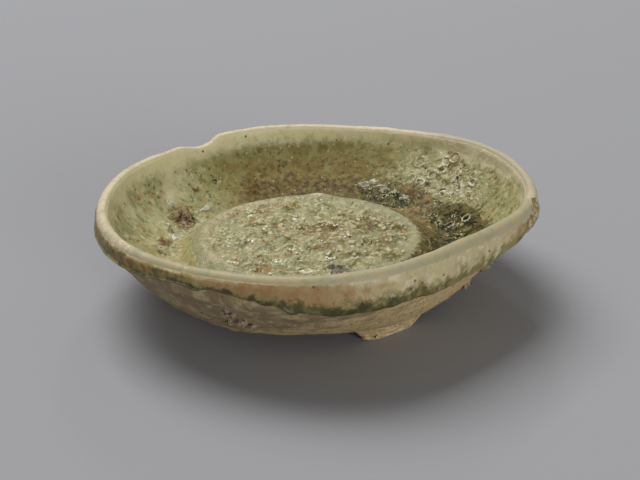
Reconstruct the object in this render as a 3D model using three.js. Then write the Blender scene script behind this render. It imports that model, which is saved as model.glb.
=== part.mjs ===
// A flat, footed drinking cup of ash-glazed stoneware.
// Millimetres, +Z up, origin on the ground under the middle of the bowl, front of the cup towards -Y.
// The clay bowl is thrown and trimmed, three feet are left of its notched foot ring, and what the kiln
// put on it lies on the clay in separate bodies: coats of ash glaze, a crust on the floor, pools of
// glass and stuck grit. Every piece is drawn round and then bent by one common kiln warp.

import * as THREE from 'three';
import { mergeVertices } from 'three/addons/utils/BufferGeometryUtils.js';

// Driving dimensions of the clay bowl
const RIM_RADIUS = 53.2; // crest of the rounded rim
const BOWL_HEIGHT = 23.1; // underside of the bowl to the crest
const COLLAR_HEIGHT = 7.5; // upright band under the crest
const COLLAR_BULGE = 0.8; // how far the clay of the collar swells past the rim
const RIM_INSET = 1.0; // crest to the start of the inner wall, across
const RIM_DROP = 0.9; // and down
const BASE_RADIUS = 33.6; // flat underside
const BELLY_CURVE = 1.27; // 1 is a straight cone from the underside to the collar
const RECESS_RADIUS = 19.5; // hollow trimmed out inside the feet
const RECESS_DEPTH = 2.6;
const RECESS_FLARE = 2.2;
const TROUGH_RADIUS = 36.0; // lowest ring of the inside
const TROUGH_DEPTH = 16.9; // below the crest
const TROUGH_FLAT = 1.0; // level strip at the foot of the crust's flank
const WALL_SPREAD = 1.35; // inner wall: how soon it leaves the trough
const WALL_STEEPNESS = 1.6; // and how upright it ends

// Driving dimensions of the feet
const FOOT_HEIGHT = 4.4;
const FOOT_WIDTH = 9.6; // across the ring at the top
const FOOT_SPREAD = 46; // degrees of the ring that a foot takes at the top
const FOOT_TAPER = 0.42; // share of that lost towards the ground
const FOOT_INNER_SLOPE = 2.0;
const FOOT_OUTER_SLOPE = 1.5;
const FOOT_TURNS = { foot_front_right: -55, foot_back_right: 65, foot_left: 185 };

// Driving dimensions of the glaze and the floor crust
const GAP = 0.3; // clearance between bodies that lie on each other
const COAT = 0.8; // ash glaze inside
const EDGE_SHARE = 0.12; // share of the inner curve over which the coat thins out to the rim
const BAND_COAT = 0.6; // ash glaze on the collar
const BAND_EDGE = 0.3; // its thin top edge
const BAND_ROLL = 0.4; // extra thickness of its rolled lower edge
const BAND_TOP = 0.9; // top edge below the crest
const BAND_REACH = 7.2; // mean lower edge below the crest
const ROLL_PLACE = { thin: 0.25, middle: 0.9, width: 0.12 }; // shares of the band's height from its top
const CRUST_RADIUS = 31.0;
const CRUST_SHOULDER = 27.4; // raised ring inside its edge
const CRUST_RISE = 4.0; // shoulder above the trough
const CRUST_SEAT_RISE = 1.6; // flat bottom of the crust above the trough
const CRUST_EDGE = 0.7; // thickness at its edge
const CRUST_DISH = 0.6; // how far its middle lies under its shoulder
const CRUST_SHIFT = { x: -1.5, y: 1.1 }; // it sits a little off centre
const CRUST_MOUND = { turn: 86, out: 2.4, wide: 2.6, tall: 0.6 }; // on the shoulder, out from its crest

// Lumps on the crust: set on a spiral that ends at a share of the shoulder's radius, each turned on by
// the golden angle and strayed a little, in a bed that is sunk and fades out at the shoulder
const CRUST_LUMPS = {
  count: 44,
  reach: 0.9,
  turn: 137.5,
  stray: 1.4,
  wide: 2.1,
  tall: 1.4,
  uneven: 0.35, // share of its height that a lump may lose
  bed: 0.85,
  fade: 3.0,
};

// The kiln warp, as swellings round the cup: where in degrees from +X, how wide, and by how much
const RIM_SWELLS = [
  { at: -46, width: 25, by: -4.4 },
  { at: 10, width: 22, by: 0.5 },
  { at: 45, width: 24, by: 1.3 },
  { at: 112, width: 14, by: 0.9 },
  { at: 195, width: 25, by: -0.2 },
  { at: 248, width: 20, by: -0.8 },
];
const RIM_LIFTS = [
  { at: 28, width: 20, by: 0.9 },
  { at: 129.5, width: 5, by: -1.3 },
  { at: 138, width: 3, by: 0.3 },
  { at: 160, width: 18, by: 0.8 },
];
const TEAR = { rise: 70, full: 105, tear: 122.5, end: 126, height: 1.1 }; // stepped tear in the rim
const LEAN = 1.7; // rim higher at +X and lower at -X
const LEAN_SWELLS = [{ at: -60, width: 25, by: 0.6 }];
const SHOULDER_LIFTS = [
  { at: -12, width: 20, by: 2.0 },
  { at: 192, width: 38, by: 1.9 },
];
const BELLY_SAGS = [
  { at: -127, width: 30, by: -2.1 },
  { at: -85, width: 22, by: 0.5 },
];
const SAG_SPAN = { start: 4.4, fade: 8.4 }; // from the base's edge outwards
const SHOULDER_SPAN = { above: 1, fade: 4 }; // over the shoulder
const BAND_WAVES = [
  { at: -155, width: 16, by: -1.0 },
  { at: -118, width: 20, by: -2.6 },
  { at: -84, width: 9, by: 2.0 },
  { at: -50, width: 26, by: 3.0 },
  { at: -10, width: 13, by: -1.4 },
  { at: 40, width: 34, by: 1.4 },
  { at: 110, width: 25, by: -1.0 },
  { at: 160, width: 18, by: 1.0 },
];

// What lies on the inside: turn and wide in degrees, across and long in shares of the wall's width
// from the trough to its head, and tall in mm
const POOL_RIGHT = { turn: 15, across: 0.148, wide: 17, long: 0.284, tall: 0.9, rough: 0.1 };
const POOL_BACK = { turn: 59, across: 0.185, wide: 13, long: 0.21, tall: 0.8, rough: 0.1 };
const FOAM = { turn: 38, across: 0.648, wide: 20, long: 0.272, tall: 0.5, rough: 0.3 };
const TROUGH_SLAG = { turn: 153, across: 0.222, wide: 8, long: 0.185, tall: 1.1, rough: 0.4 };

// Grit stuck to the belly: turn and wide in degrees, up from the underside, long and tall in mm
const GRIT = {
  kiln_grit_front_1: { turn: -112, up: 12.6, wide: 1.9, long: 0.9, tall: 1.0 },
  kiln_grit_front_2: { turn: -109, up: 10.6, wide: 1.6, long: 0.8, tall: 0.9 },
  kiln_grit_front_3: { turn: -107, up: 8.9, wide: 1.5, long: 0.8, tall: 0.8 },
  kiln_grit_front_4: { turn: -113, up: 9.9, wide: 1.2, long: 0.6, tall: 0.6 },
  kiln_grit_right_1: { turn: -29.5, up: 5.4, wide: 2.1, long: 0.9, tall: 1.1 },
  kiln_grit_right_2: { turn: -23, up: 8.2, wide: 2.4, long: 1.0, tall: 1.2 },
  kiln_grit_left: { turn: -156, up: 12.2, wide: 2.4, long: 0.7, tall: 0.8 },
};
const GRIT_ROUGHNESS = 0.4;

// Slag on the glaze of the rim, its middle measured down from the crest
const RIM_SLAG = { turn: -17, down: 3.1, wide: 9, long: 1.5, tall: 0.4, rough: 0.3 };

// Facets
const TURN_STEPS = 72;
const BELLY_STEPS = 6;
const COLLAR_STEPS = 6;
const WALL_STEPS = 8;
const FLANK_STEPS = 3;
const CRUST_STEPS = 24;
const BAND_STEPS = 6;

// Heights and a width that follow from the sizes above
const UNDERSIDE = FOOT_HEIGHT;
const CREST = UNDERSIDE + BOWL_HEIGHT;
const SHOULDER = CREST - COLLAR_HEIGHT;
const WALL_HEAD = RIM_RADIUS - RIM_INSET;
const WALL_TOP = CREST - RIM_DROP;
const WALL_WIDTH = WALL_HEAD - TROUGH_RADIUS;
const TROUGH = CREST - TROUGH_DEPTH;
const CRUST_TOP = TROUGH + CRUST_RISE;
const CRUST_SEAT = TROUGH + CRUST_SEAT_RISE;

const mix = (a, b, t) => a + (b - a) * t;
const { degToRad, euclideanModulo, smoothstep } = THREE.MathUtils;
const turnFrom = (turn, at) => euclideanModulo(turn - at + 180, 360) - 180;

// Sum of soft bumps round the cup, each one a bell curve of the turn
function swell(list, turn) {
  const bell = (at, width) => Math.exp(-((turnFrom(turn, at) / width) ** 2));
  return list.reduce((sum, { at, width, by }) => sum + by * bell(at, width), 0);
}

// The rim climbs slowly to a high stretch at the back and drops from it at the tear
function tearLift(turn) {
  const away = turnFrom(turn, 0);
  return TEAR.height * smoothstep(away, TEAR.rise, TEAR.full) * (1 - smoothstep(away, TEAR.tear, TEAR.end));
}

// Kiln warp of a point given by its turn, its radius and its height on the round cup
function warp(turn, radius, height, inside) {
  const outward = smoothstep(radius, BASE_RADIUS, WALL_HEAD);
  const upward = smoothstep(height, SHOULDER, WALL_TOP);
  const reach = radius * (1 + (swell(RIM_SWELLS, turn) / RIM_RADIUS) * outward);
  const sagEnd = BASE_RADIUS + SAG_SPAN.start;
  const sagFade = 1 - smoothstep(radius, sagEnd + SAG_SPAN.fade, RIM_RADIUS);
  const sag = smoothstep(radius, BASE_RADIUS, sagEnd) * sagFade;
  const place = new THREE.Vector3(reach * Math.cos(degToRad(turn)), reach * Math.sin(degToRad(turn)), height);
  place.z += outward * (LEAN * Math.cos(degToRad(turn)) + swell(LEAN_SWELLS, turn));
  place.z += outward * upward * (tearLift(turn) + swell(RIM_LIFTS, turn));
  place.z += sag * swell(BELLY_SAGS, turn);
  if (inside) {
    const middle = 1 - smoothstep(radius, CRUST_RADIUS, TROUGH_RADIUS);
    place.x += CRUST_SHIFT.x * middle;
    place.y += CRUST_SHIFT.y * middle;
  } else {
    const under = 1 - smoothstep(height, SHOULDER + SHOULDER_SPAN.above, SHOULDER + SHOULDER_SPAN.fade);
    place.z += swell(SHOULDER_LIFTS, turn) * under * smoothstep(radius, sagEnd, RIM_RADIUS);
  }
  return place;
}

// Radius of the clay's outside at a height: belly up to the shoulder, then the collar
function clayRadius(height) {
  if (height < SHOULDER) {
    const rise = Math.max((height - UNDERSIDE) / (SHOULDER - UNDERSIDE), 0);
    return mix(BASE_RADIUS, RIM_RADIUS, rise ** (1 / BELLY_CURVE));
  }
  const share = Math.min((height - SHOULDER) / COLLAR_HEIGHT, 1);
  return RIM_RADIUS + COLLAR_BULGE * (1 - Math.abs(2 * share - 1) ** 4);
}

// Height of the finished inside at a radius: dished crust, its flank, the trough and the wall
function insideHeight(radius) {
  if (radius < CRUST_SHOULDER) {
    return CRUST_TOP - CRUST_DISH * (1 - (radius / CRUST_SHOULDER) ** 2);
  }
  if (radius < TROUGH_RADIUS) {
    const flank = smoothstep(TROUGH_RADIUS - radius, TROUGH_FLAT, TROUGH_RADIUS - CRUST_SHOULDER);
    return mix(TROUGH, CRUST_TOP, flank);
  }
  const out = Math.min((radius - TROUGH_RADIUS) / WALL_WIDTH, 1);
  return mix(TROUGH, WALL_TOP, 1 - (1 - out ** WALL_SPREAD) ** (1 / WALL_STEEPNESS));
}

// Points of the finished inside from the top of the wall down to a radius on the crust's flank
function insideCurve(lastRadius) {
  const points = [];
  for (let i = 0; i <= WALL_STEPS; i += 1) {
    const radius = mix(TROUGH_RADIUS, WALL_HEAD, Math.cos((i / WALL_STEPS) * (Math.PI / 2)));
    points.push(new THREE.Vector2(radius, insideHeight(radius)));
  }
  for (let i = 1; i <= FLANK_STEPS; i += 1) {
    const radius = mix(TROUGH_RADIUS, lastRadius, i / FLANK_STEPS);
    points.push(new THREE.Vector2(radius, insideHeight(radius)));
  }
  return points;
}

// The same points sunk into the wall by a depth that fades out towards the rim
function sunkCurve(lastRadius, depth) {
  const points = insideCurve(lastRadius);
  const last = points.length - 1;
  return points.map((point, i) => {
    const along = points[Math.min(i + 1, last)].clone().sub(points[Math.max(i - 1, 0)]).normalize();
    const away = depth * smoothstep(i / last, 0, EDGE_SHARE);
    return new THREE.Vector2(point.x - along.y * away, point.y + along.x * away);
  });
}

// One closed body: shared corners merged, empty triangles dropped, faces turned outwards
function closed(geometry) {
  geometry.deleteAttribute('normal');
  geometry.deleteAttribute('uv');
  const body = mergeVertices(geometry, 1e-4);
  const corner = (index) => new THREE.Vector3().fromBufferAttribute(body.attributes.position, index);
  const faces = [];
  let volume = 0;
  for (let i = 0; i < body.index.count; i += 3) {
    const [a, b, c] = body.index.array.slice(i, i + 3);
    if (a !== b && b !== c && c !== a) {
      faces.push(a, b, c);
      volume += corner(a).dot(corner(b).cross(corner(c)));
    }
  }
  body.setIndex(volume < 0 ? faces.reverse() : faces);
  body.computeVertexNormals();
  return body;
}

// A profile of radius and height turned about the axis; shape(turn, x, y, row) places each corner
function turned(profile, shape) {
  const geometry = new THREE.LatheGeometry(profile, TURN_STEPS);
  const corners = geometry.attributes.position;
  for (let i = 0; i < corners.count; i += 1) {
    const row = i % profile.length;
    const turn = (Math.floor(i / profile.length) % TURN_STEPS) * (360 / TURN_STEPS);
    const place = shape(turn, profile[row].x, profile[row].y, row);
    corners.setXYZ(i, place.x, place.y, place.z);
  }
  return closed(geometry);
}

// Body of fired clay: trimmed recess, underside, belly, collar, rim, and the bed for glaze and crust
function clayBowl() {
  const outside = [
    new THREE.Vector2(0, UNDERSIDE + RECESS_DEPTH),
    new THREE.Vector2(RECESS_RADIUS, UNDERSIDE + RECESS_DEPTH),
    new THREE.Vector2(RECESS_RADIUS + RECESS_FLARE, UNDERSIDE),
  ];
  for (let i = 0; i <= BELLY_STEPS; i += 1) {
    const height = mix(UNDERSIDE, SHOULDER, (i / BELLY_STEPS) ** BELLY_CURVE);
    outside.push(new THREE.Vector2(clayRadius(height), height));
  }
  for (let i = 1; i <= COLLAR_STEPS; i += 1) {
    const height = mix(SHOULDER, CREST, (1 - Math.cos((i / COLLAR_STEPS) * Math.PI)) / 2);
    outside.push(new THREE.Vector2(clayRadius(height), height));
  }
  // Inside the trough the clay rises no higher than the bed of the crust
  const bedHeight = CRUST_SEAT - GAP;
  const bed = sunkCurve(CRUST_RADIUS, GAP + COAT).map(({ x, y }) => {
    return new THREE.Vector2(x, x < TROUGH_RADIUS ? Math.min(y, bedHeight) : y);
  });
  bed.push(new THREE.Vector2(0, bedHeight));
  return turned([...outside, ...bed], (turn, x, y, row) => warp(turn, x, y, row >= outside.length));
}

// A foot: a box bent round the ring, narrower at the ground, with flat top and bottom
function foot(middle) {
  const geometry = new THREE.BoxGeometry(1, 1, 1, 10, 3, 3);
  const corners = geometry.attributes.position;
  for (let i = 0; i < corners.count; i += 1) {
    const low = 0.5 - corners.getZ(i);
    const turn = degToRad(middle + corners.getX(i) * FOOT_SPREAD * (1 - FOOT_TAPER * low));
    const innermost = BASE_RADIUS - FOOT_WIDTH + FOOT_INNER_SLOPE * low;
    const outermost = BASE_RADIUS - FOOT_OUTER_SLOPE * low ** 2;
    const radius = mix(innermost, outermost, corners.getY(i) + 0.5);
    corners.setXYZ(i, radius * Math.cos(turn), radius * Math.sin(turn), FOOT_HEIGHT * (1 - low));
  }
  return closed(geometry);
}

// Coat of ash glaze from under the rim, over the wall and the trough, up to the edge of the crust
function innerGlaze() {
  const edge = CRUST_RADIUS + GAP;
  const face = insideCurve(edge).slice(1);
  const back = sunkCurve(edge, COAT).slice(1).reverse();
  return turned([...face, ...back, face[0]], (turn, x, y) => warp(turn, x, y, true));
}

// Middles and heights of the lumps on the crust
const crustLumps = Array.from({ length: CRUST_LUMPS.count }, (_, i) => {
  const radius = CRUST_SHOULDER * CRUST_LUMPS.reach * Math.sqrt((i + 0.5) / CRUST_LUMPS.count);
  const turn = degToRad(i * CRUST_LUMPS.turn);
  const x = radius * Math.cos(turn) + CRUST_LUMPS.stray * Math.sin(i * i);
  const y = radius * Math.sin(turn) + CRUST_LUMPS.stray * Math.cos(2 * i * i);
  const tall = CRUST_LUMPS.tall * (1 - CRUST_LUMPS.uneven * Math.sin(5 * i) ** 2);
  return { x, y, wide: CRUST_LUMPS.wide, tall };
});
const moundRadius = CRUST_SHOULDER + CRUST_MOUND.out;
const crustMound = {
  x: moundRadius * Math.cos(degToRad(CRUST_MOUND.turn)),
  y: moundRadius * Math.sin(degToRad(CRUST_MOUND.turn)),
  wide: CRUST_MOUND.wide,
  tall: CRUST_MOUND.tall,
};

// How far the crust stands over its smooth dished disc at a place on the round cup
function crustRelief(turn, radius) {
  const x = radius * Math.cos(degToRad(turn));
  const y = radius * Math.sin(degToRad(turn));
  const bump = (lump) => lump.tall * Math.exp(-((x - lump.x) ** 2 + (y - lump.y) ** 2) / lump.wide ** 2);
  const inward = 1 - smoothstep(radius, CRUST_SHOULDER - CRUST_LUMPS.fade, CRUST_SHOULDER);
  const lumps = crustLumps.reduce((sum, lump) => sum + bump(lump), 0);
  return inward * (lumps - CRUST_LUMPS.bed) + bump(crustMound);
}

// Crust of ash on the floor: a flat-bottomed disc with a raised shoulder and a dished, lumpy middle
function floorCrust() {
  const seat = [new THREE.Vector2(0, CRUST_SEAT), new THREE.Vector2(CRUST_RADIUS, CRUST_SEAT)];
  const face = [new THREE.Vector2(CRUST_RADIUS, CRUST_SEAT + CRUST_EDGE)];
  [0.6, 0.3].forEach((share) => {
    const radius = mix(CRUST_SHOULDER, CRUST_RADIUS, share);
    face.push(new THREE.Vector2(radius, Math.max(insideHeight(radius), CRUST_SEAT + CRUST_EDGE)));
  });
  for (let i = CRUST_STEPS; i >= 0; i -= 1) {
    const radius = (i / CRUST_STEPS) * CRUST_SHOULDER;
    face.push(new THREE.Vector2(radius, insideHeight(radius)));
  }
  return turned([...seat, ...face], (turn, x, y, row) => {
    const relief = row < seat.length ? 0 : crustRelief(turn, x);
    return warp(turn, x, y + relief, true);
  });
}

// Point at a distance off a surface that is given as a function of turn and place
function offSurface(surface, turn, place, away) {
  const here = surface(turn, place);
  const around = surface(turn + 0.5, place).sub(here);
  const along = surface(turn, place + 0.1).sub(here);
  return here.addScaledVector(around.cross(along).normalize(), away);
}

const outside = (turn, height) => warp(turn, clayRadius(height), height, false);
const inside = (turn, radius) => warp(turn, radius, insideHeight(radius), true);

// The band's lower edge is wavy, and its glaze is thin at the top and rolled up at that edge
const bandLowest = (turn) => CREST - BAND_REACH - swell(BAND_WAVES, turn);

function bandThickness(down) {
  const roll = BAND_ROLL * Math.exp(-(((down - ROLL_PLACE.middle) / ROLL_PLACE.width) ** 2));
  return mix(BAND_EDGE, BAND_COAT, smoothstep(down, 0, ROLL_PLACE.thin)) + roll;
}

function bandFace(turn, height) {
  const top = CREST - BAND_TOP;
  const down = (top - height) / (top - bandLowest(turn));
  return offSurface(outside, turn, height, GAP + bandThickness(down));
}

// Coat of glaze on the collar that runs down to a wavy, rolled lower edge
function outerBand() {
  const downward = Array.from({ length: BAND_STEPS + 1 }, (_, i) => i / BAND_STEPS);
  const face = downward.map((down) => new THREE.Vector2(1, -down));
  const back = downward.map((down) => new THREE.Vector2(0.5, -down)).reverse();
  return turned([...face, ...back, face[0]], (turn, x, y) => {
    const height = mix(CREST - BAND_TOP, bandLowest(turn), -y);
    return x === 1 ? bandFace(turn, height) : offSurface(outside, turn, height, GAP);
  });
}

// A lump settled on a surface: the lower half of a ball lies on it, the upper half stands up
function settled(surface, side, middle, lift, { turn, wide, long, tall, rough }, detail) {
  const geometry = closed(new THREE.IcosahedronGeometry(1, detail));
  const corners = geometry.attributes.position;
  for (let i = 0; i < corners.count; i += 1) {
    const [u, v, w] = [corners.getX(i), corners.getY(i), corners.getZ(i)];
    const uneven = 1 + rough * Math.sin(7 * u + 5 * v + 11 * w + turn) * Math.cos(9 * v - 6 * u);
    const away = lift + Math.max(w, 0) * tall * uneven;
    const place = offSurface(surface, turn + u * wide, middle + v * long, side * away);
    corners.setXYZ(i, place.x, place.y, place.z);
  }
  return closed(geometry);
}

function onGlaze(lump) {
  const radius = TROUGH_RADIUS + lump.across * WALL_WIDTH;
  return settled(inside, -1, radius, GAP, { ...lump, long: lump.long * WALL_WIDTH }, 2);
}

function onBelly(lump) {
  return settled(outside, 1, UNDERSIDE + lump.up, GAP, { ...lump, rough: GRIT_ROUGHNESS }, 1);
}

const onBand = (lump) => settled(bandFace, 1, CREST - lump.down, GAP, lump, 2);

// Materials, with colours as fired
const fired = (color, roughness) => new THREE.MeshStandardMaterial({ color, roughness, metalness: 0 });
const clay = fired(0xa8967a, 0.75);
const footClay = fired(0xb08a5e, 0.8);
const ashGlaze = fired(0x8c8a5c, 0.3);
const ashCrust = fired(0xa9a67c, 0.45);
const bandGlaze = fired(0xb3a47e, 0.4);
const greenGlass = fired(0x3b4430, 0.12);
const foamGlass = fired(0xb9b698, 0.3);
const slag = fired(0x6b5230, 0.5);
const gritStone = fired(0xc9bfae, 0.8);

const cup = new THREE.Group();

function add(name, geometry, material) {
  const piece = new THREE.Mesh(geometry, material);
  piece.name = name;
  cup.add(piece);
}

add('clay_bowl', clayBowl(), clay);
Object.entries(FOOT_TURNS).forEach(([name, turn]) => add(name, foot(turn), footClay));
add('inner_ash_glaze', innerGlaze(), ashGlaze);
add('floor_ash_crust', floorCrust(), ashCrust);
add('outer_glaze_band', outerBand(), bandGlaze);
add('glass_pool_right', onGlaze(POOL_RIGHT), greenGlass);
add('glass_pool_back', onGlaze(POOL_BACK), greenGlass);
add('foam_glass_wall', onGlaze(FOAM), foamGlass);
add('trough_slag_left', onGlaze(TROUGH_SLAG), slag);
add('rim_slag_right', onBand(RIM_SLAG), slag);
Object.entries(GRIT).forEach(([name, lump]) => add(name, onBelly(lump), gritStone));

export default cup;
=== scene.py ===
import bpy
import numpy as np
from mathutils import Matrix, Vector


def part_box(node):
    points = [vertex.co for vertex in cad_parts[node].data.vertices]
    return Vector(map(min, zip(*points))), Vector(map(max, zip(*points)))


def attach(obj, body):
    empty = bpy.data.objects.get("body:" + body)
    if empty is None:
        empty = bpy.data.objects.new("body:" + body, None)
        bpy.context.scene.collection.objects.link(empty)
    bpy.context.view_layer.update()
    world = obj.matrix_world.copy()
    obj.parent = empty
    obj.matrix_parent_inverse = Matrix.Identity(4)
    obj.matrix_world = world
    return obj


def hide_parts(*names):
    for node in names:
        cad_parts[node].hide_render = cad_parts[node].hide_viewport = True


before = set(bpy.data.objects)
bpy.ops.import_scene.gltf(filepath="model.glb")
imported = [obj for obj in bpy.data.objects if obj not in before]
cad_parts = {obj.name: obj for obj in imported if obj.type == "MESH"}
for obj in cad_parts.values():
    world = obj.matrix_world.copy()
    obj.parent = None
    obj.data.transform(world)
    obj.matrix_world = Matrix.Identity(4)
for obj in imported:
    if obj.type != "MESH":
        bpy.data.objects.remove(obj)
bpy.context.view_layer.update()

# Clay bowl
# Coarse grey-brown stoneware, thrown thin, trimmed underneath and warped in the kiln. The feet, the
# coats of glaze and the crust all lie on it. Shapes are drawn round, in millimetres, and then bent.
MM = 0.001
RIM_RADIUS = 53.2
COLLAR_HEIGHT = 7.5
COLLAR_BULGE = 0.8
RIM_ROUNDING = 1.1
BASE_RADIUS = 33.6
BELLY_CURVE = 1.27
RECESS_RADIUS = 19.5
RECESS_DEPTH = 2.6
RECESS_FLARE = 2.2
TROUGH_RADIUS = 36.0
TROUGH_DEPTH = 16.9
TROUGH_FLAT = 1.0
WALL_SPREAD = 1.35
WALL_STEEPNESS = 1.6
WALL_HEAD = 52.2
WALL_DROP = 0.9
CRUST_RADIUS = 31.0
CRUST_SHOULDER = 27.4
CRUST_RISE = 4.0
CRUST_DISH = 0.6
CRUST_SHIFT = (-1.5, 1.1)
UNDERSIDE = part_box("foot_front_right")[1].z / MM
CREST = UNDERSIDE + 23.1
CREST_WIDTH = 1.4
CREST_WAVE = 0.15
SHOULDER = CREST - COLLAR_HEIGHT
TROUGH = CREST - TROUGH_DEPTH
CRUST_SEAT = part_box("floor_ash_crust")[0].z / MM
CRUST_TOP = TROUGH + CRUST_RISE
CLAY_ROW = 0.5
CLAY_SINK = 0.5
BED_GAP = 0.3

# Rings left by throwing and by trimming: radians for each millimetre, and heights. Both are spirals,
# which gain a radian in so many degrees. The pits: turn, way in from the rim, size and depth.
THROWING_PITCH = 3.1
THROWING_HEIGHT = 0.05
TRIMMING_PITCH = 4.2
TRIMMING_HEIGHT = 0.08
SPIRAL = 57.3
RIM_PITS = ((107.5, 0.6, 0.7, 0.5), (38, 0.3, 0.6, 0.4))
# Paler flashed belly: at the front-right, where it is also painted light, by turn, width and strength; and
# near the underside, over a rise in mm.
PALE_BELLY = ((-35, 46, 1),)
PALE_RISE = 6

# The kiln warp, as swellings round the cup: turn in degrees from +X, width, and by how much
RIM_SWELLS = ((-46, 25, -4.4), (10, 22, 0.5), (45, 24, 1.3), (112, 14, 0.9), (195, 25, -0.2),
              (248, 20, -0.8))
RIM_LIFTS = ((28, 20, 0.9), (129.5, 5, -1.3), (138, 3, 0.3), (160, 18, 0.8))
TEAR_HEIGHT = 1.1
TEAR_START = (70, 105)
TEAR_END = (122.5, 126)
LEAN = 1.7
LEAN_SWELLS = ((-60, 25, 0.6),)
SHOULDER_LIFTS = ((-12, 20, 2), (192, 38, 1.9))
BELLY_SAGS = ((-127, 30, -2.1), (-85, 22, 0.5))
SAG_START = BASE_RADIUS + 4.4
SAG_END = SAG_START + 8.4


def mix(low, high, share):
    """Straight blend of two values."""
    return low + (high - low) * share


def soft_step(value, start, end):
    """0 up to start, 1 from end on, and a smooth climb between them."""
    share = np.clip((value - start) / (end - start), 0, 1)
    return share * share * (3 - 2 * share)


def around(turn, at):
    """Degrees from at to turn, the short way round."""
    return (turn - at + 180) % 360 - 180


def bell(value, middle, width, power=2):
    """Bell curve: 1 in the middle and 0.37 a width away from it, with a flatter top at a higher power."""
    return np.exp(-(((value - middle) / width) ** power))


def swell(bumps, turn):
    """Sum of bell curves of the turn, each with its place, width and height."""
    return sum(by * bell(around(turn, at), 0, width) for at, width, by in bumps)


def full_turn(columns):
    """One row of turns, even all the way round."""
    return np.arange(columns)[None] * 360 / columns


def round_place(turn, radius, height):
    """Points of the round cup, before the warp."""
    turn, radius, height = np.broadcast_arrays(turn, radius, height)
    angle = np.radians(turn)
    return np.stack([radius * np.cos(angle), radius * np.sin(angle), height], axis=-1)


def kiln_warp(turn, radius, height, inside):
    """Bent points: the rim swells and lifts, the whole leans, the belly sags and the shoulder
    rises outside, and the middle of the floor moves a little sideways inside."""
    turn, radius, height = np.broadcast_arrays(turn, radius, height)
    angle = np.radians(turn)
    outward = soft_step(radius, BASE_RADIUS, WALL_HEAD)
    upward = soft_step(height, SHOULDER, CREST - WALL_DROP)
    reach = radius * (1 + swell(RIM_SWELLS, turn) / RIM_RADIUS * outward)
    place = round_place(turn, reach, height).astype(float)
    away = around(turn, 0)
    tear = TEAR_HEIGHT * soft_step(away, *TEAR_START) * (1 - soft_step(away, *TEAR_END))
    fade = 1 - soft_step(radius, SAG_END, RIM_RADIUS)
    lift = outward * (LEAN * np.cos(angle) + swell(LEAN_SWELLS, turn))
    lift += outward * upward * (tear + swell(RIM_LIFTS, turn))
    lift += soft_step(radius, BASE_RADIUS, SAG_START) * fade * swell(BELLY_SAGS, turn)
    if inside:
        middle = 1 - soft_step(radius, CRUST_RADIUS, TROUGH_RADIUS)
        place[..., 0] += CRUST_SHIFT[0] * middle
        place[..., 1] += CRUST_SHIFT[1] * middle
    else:
        under = 1 - soft_step(height, SHOULDER + 1, SHOULDER + 4)
        lift += swell(SHOULDER_LIFTS, turn) * under * soft_step(radius, SAG_START, RIM_RADIUS)
    place[..., 2] += lift
    return place


def clay_radius(height):
    """Outside of the clay: a cone that bellies a little, then a collar that swells and closes again."""
    rise = np.clip((height - UNDERSIDE) / (SHOULDER - UNDERSIDE), 0, 1)
    share = np.clip((height - SHOULDER) / COLLAR_HEIGHT, 0, 1)
    collar = RIM_RADIUS + COLLAR_BULGE * (1 - np.abs(2 * share - 1) ** 4)
    return np.where(height < SHOULDER, mix(BASE_RADIUS, RIM_RADIUS, rise ** (1 / BELLY_CURVE)), collar)


def inside_height(radius):
    """Finished inside: a dished disc, its flank, the trough and a wall that steepens to the rim."""
    disc = CRUST_TOP - CRUST_DISH * (1 - (radius / CRUST_SHOULDER) ** 2)
    flank = soft_step(TROUGH_RADIUS - radius, TROUGH_FLAT, TROUGH_RADIUS - CRUST_SHOULDER)
    out = np.clip((radius - TROUGH_RADIUS) / (WALL_HEAD - TROUGH_RADIUS), 0, 1)
    wall = mix(TROUGH, CREST - WALL_DROP, 1 - (1 - out ** WALL_SPREAD) ** (1 / WALL_STEEPNESS))
    low = np.where(radius < CRUST_SHOULDER, disc, mix(TROUGH, CRUST_TOP, flank))
    return np.where(radius < TROUGH_RADIUS, low, wall)


def even(profile, step):
    """A profile with its points set at even steps of its length and its corners softened."""
    profile = np.asarray(profile, float)
    length = np.append(0, np.cumsum(np.linalg.norm(np.diff(profile, axis=0), axis=1)))
    places = np.linspace(0, length[-1], int(length[-1] / step) + 1)
    points = np.stack([np.interp(places, length, profile[:, i]) for i in (0, 1)], axis=1)
    for _ in range(2):
        points[1:-1] = (points[:-2] + 2 * points[1:-1] + points[2:]) / 4
    return points


def rim_arc(first, last):
    """Points of the rounded rim, from one angle to another, in degrees from outwards level."""
    middle_height = CREST - RIM_ROUNDING
    middle_radius = clay_radius(middle_height) - RIM_ROUNDING
    angle = np.radians(np.linspace(first, last, 13))
    return np.stack([middle_radius + RIM_ROUNDING * np.cos(angle),
                     middle_height + RIM_ROUNDING * np.sin(angle)], axis=1)


def wall_curve(last_radius, sink=0.0):
    """Profile of the inside from the foot of the rim's rounding down to a radius, sunk into the clay
    by a depth that fades in below the rim."""
    start = rim_arc(180, 180)[0, 0] - 0.05
    radius = np.append(mix(TROUGH_RADIUS, start, np.cos(np.linspace(0, np.pi / 2, 30))),
                       np.linspace(TROUGH_RADIUS, last_radius, 9)[1:])
    curve = np.stack([radius, inside_height(radius)], axis=1)
    along = np.gradient(curve, axis=0)
    along /= np.linalg.norm(along, axis=1, keepdims=True)
    depth = sink * np.linspace(0, 14, len(radius)).clip(0, 1)[:, None]
    return curve + depth * np.stack([-along[:, 1], along[:, 0]], axis=1)


PRIMES = (73856093, 19349663, 83492791)
BITS = 0xFFFFFFFF


def stirred(code):
    """Whole numbers made to look random, by shifting, multiplying and cutting to 32 bits."""
    return (code ^ (code >> 13)) * 1274126177 & BITS


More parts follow.
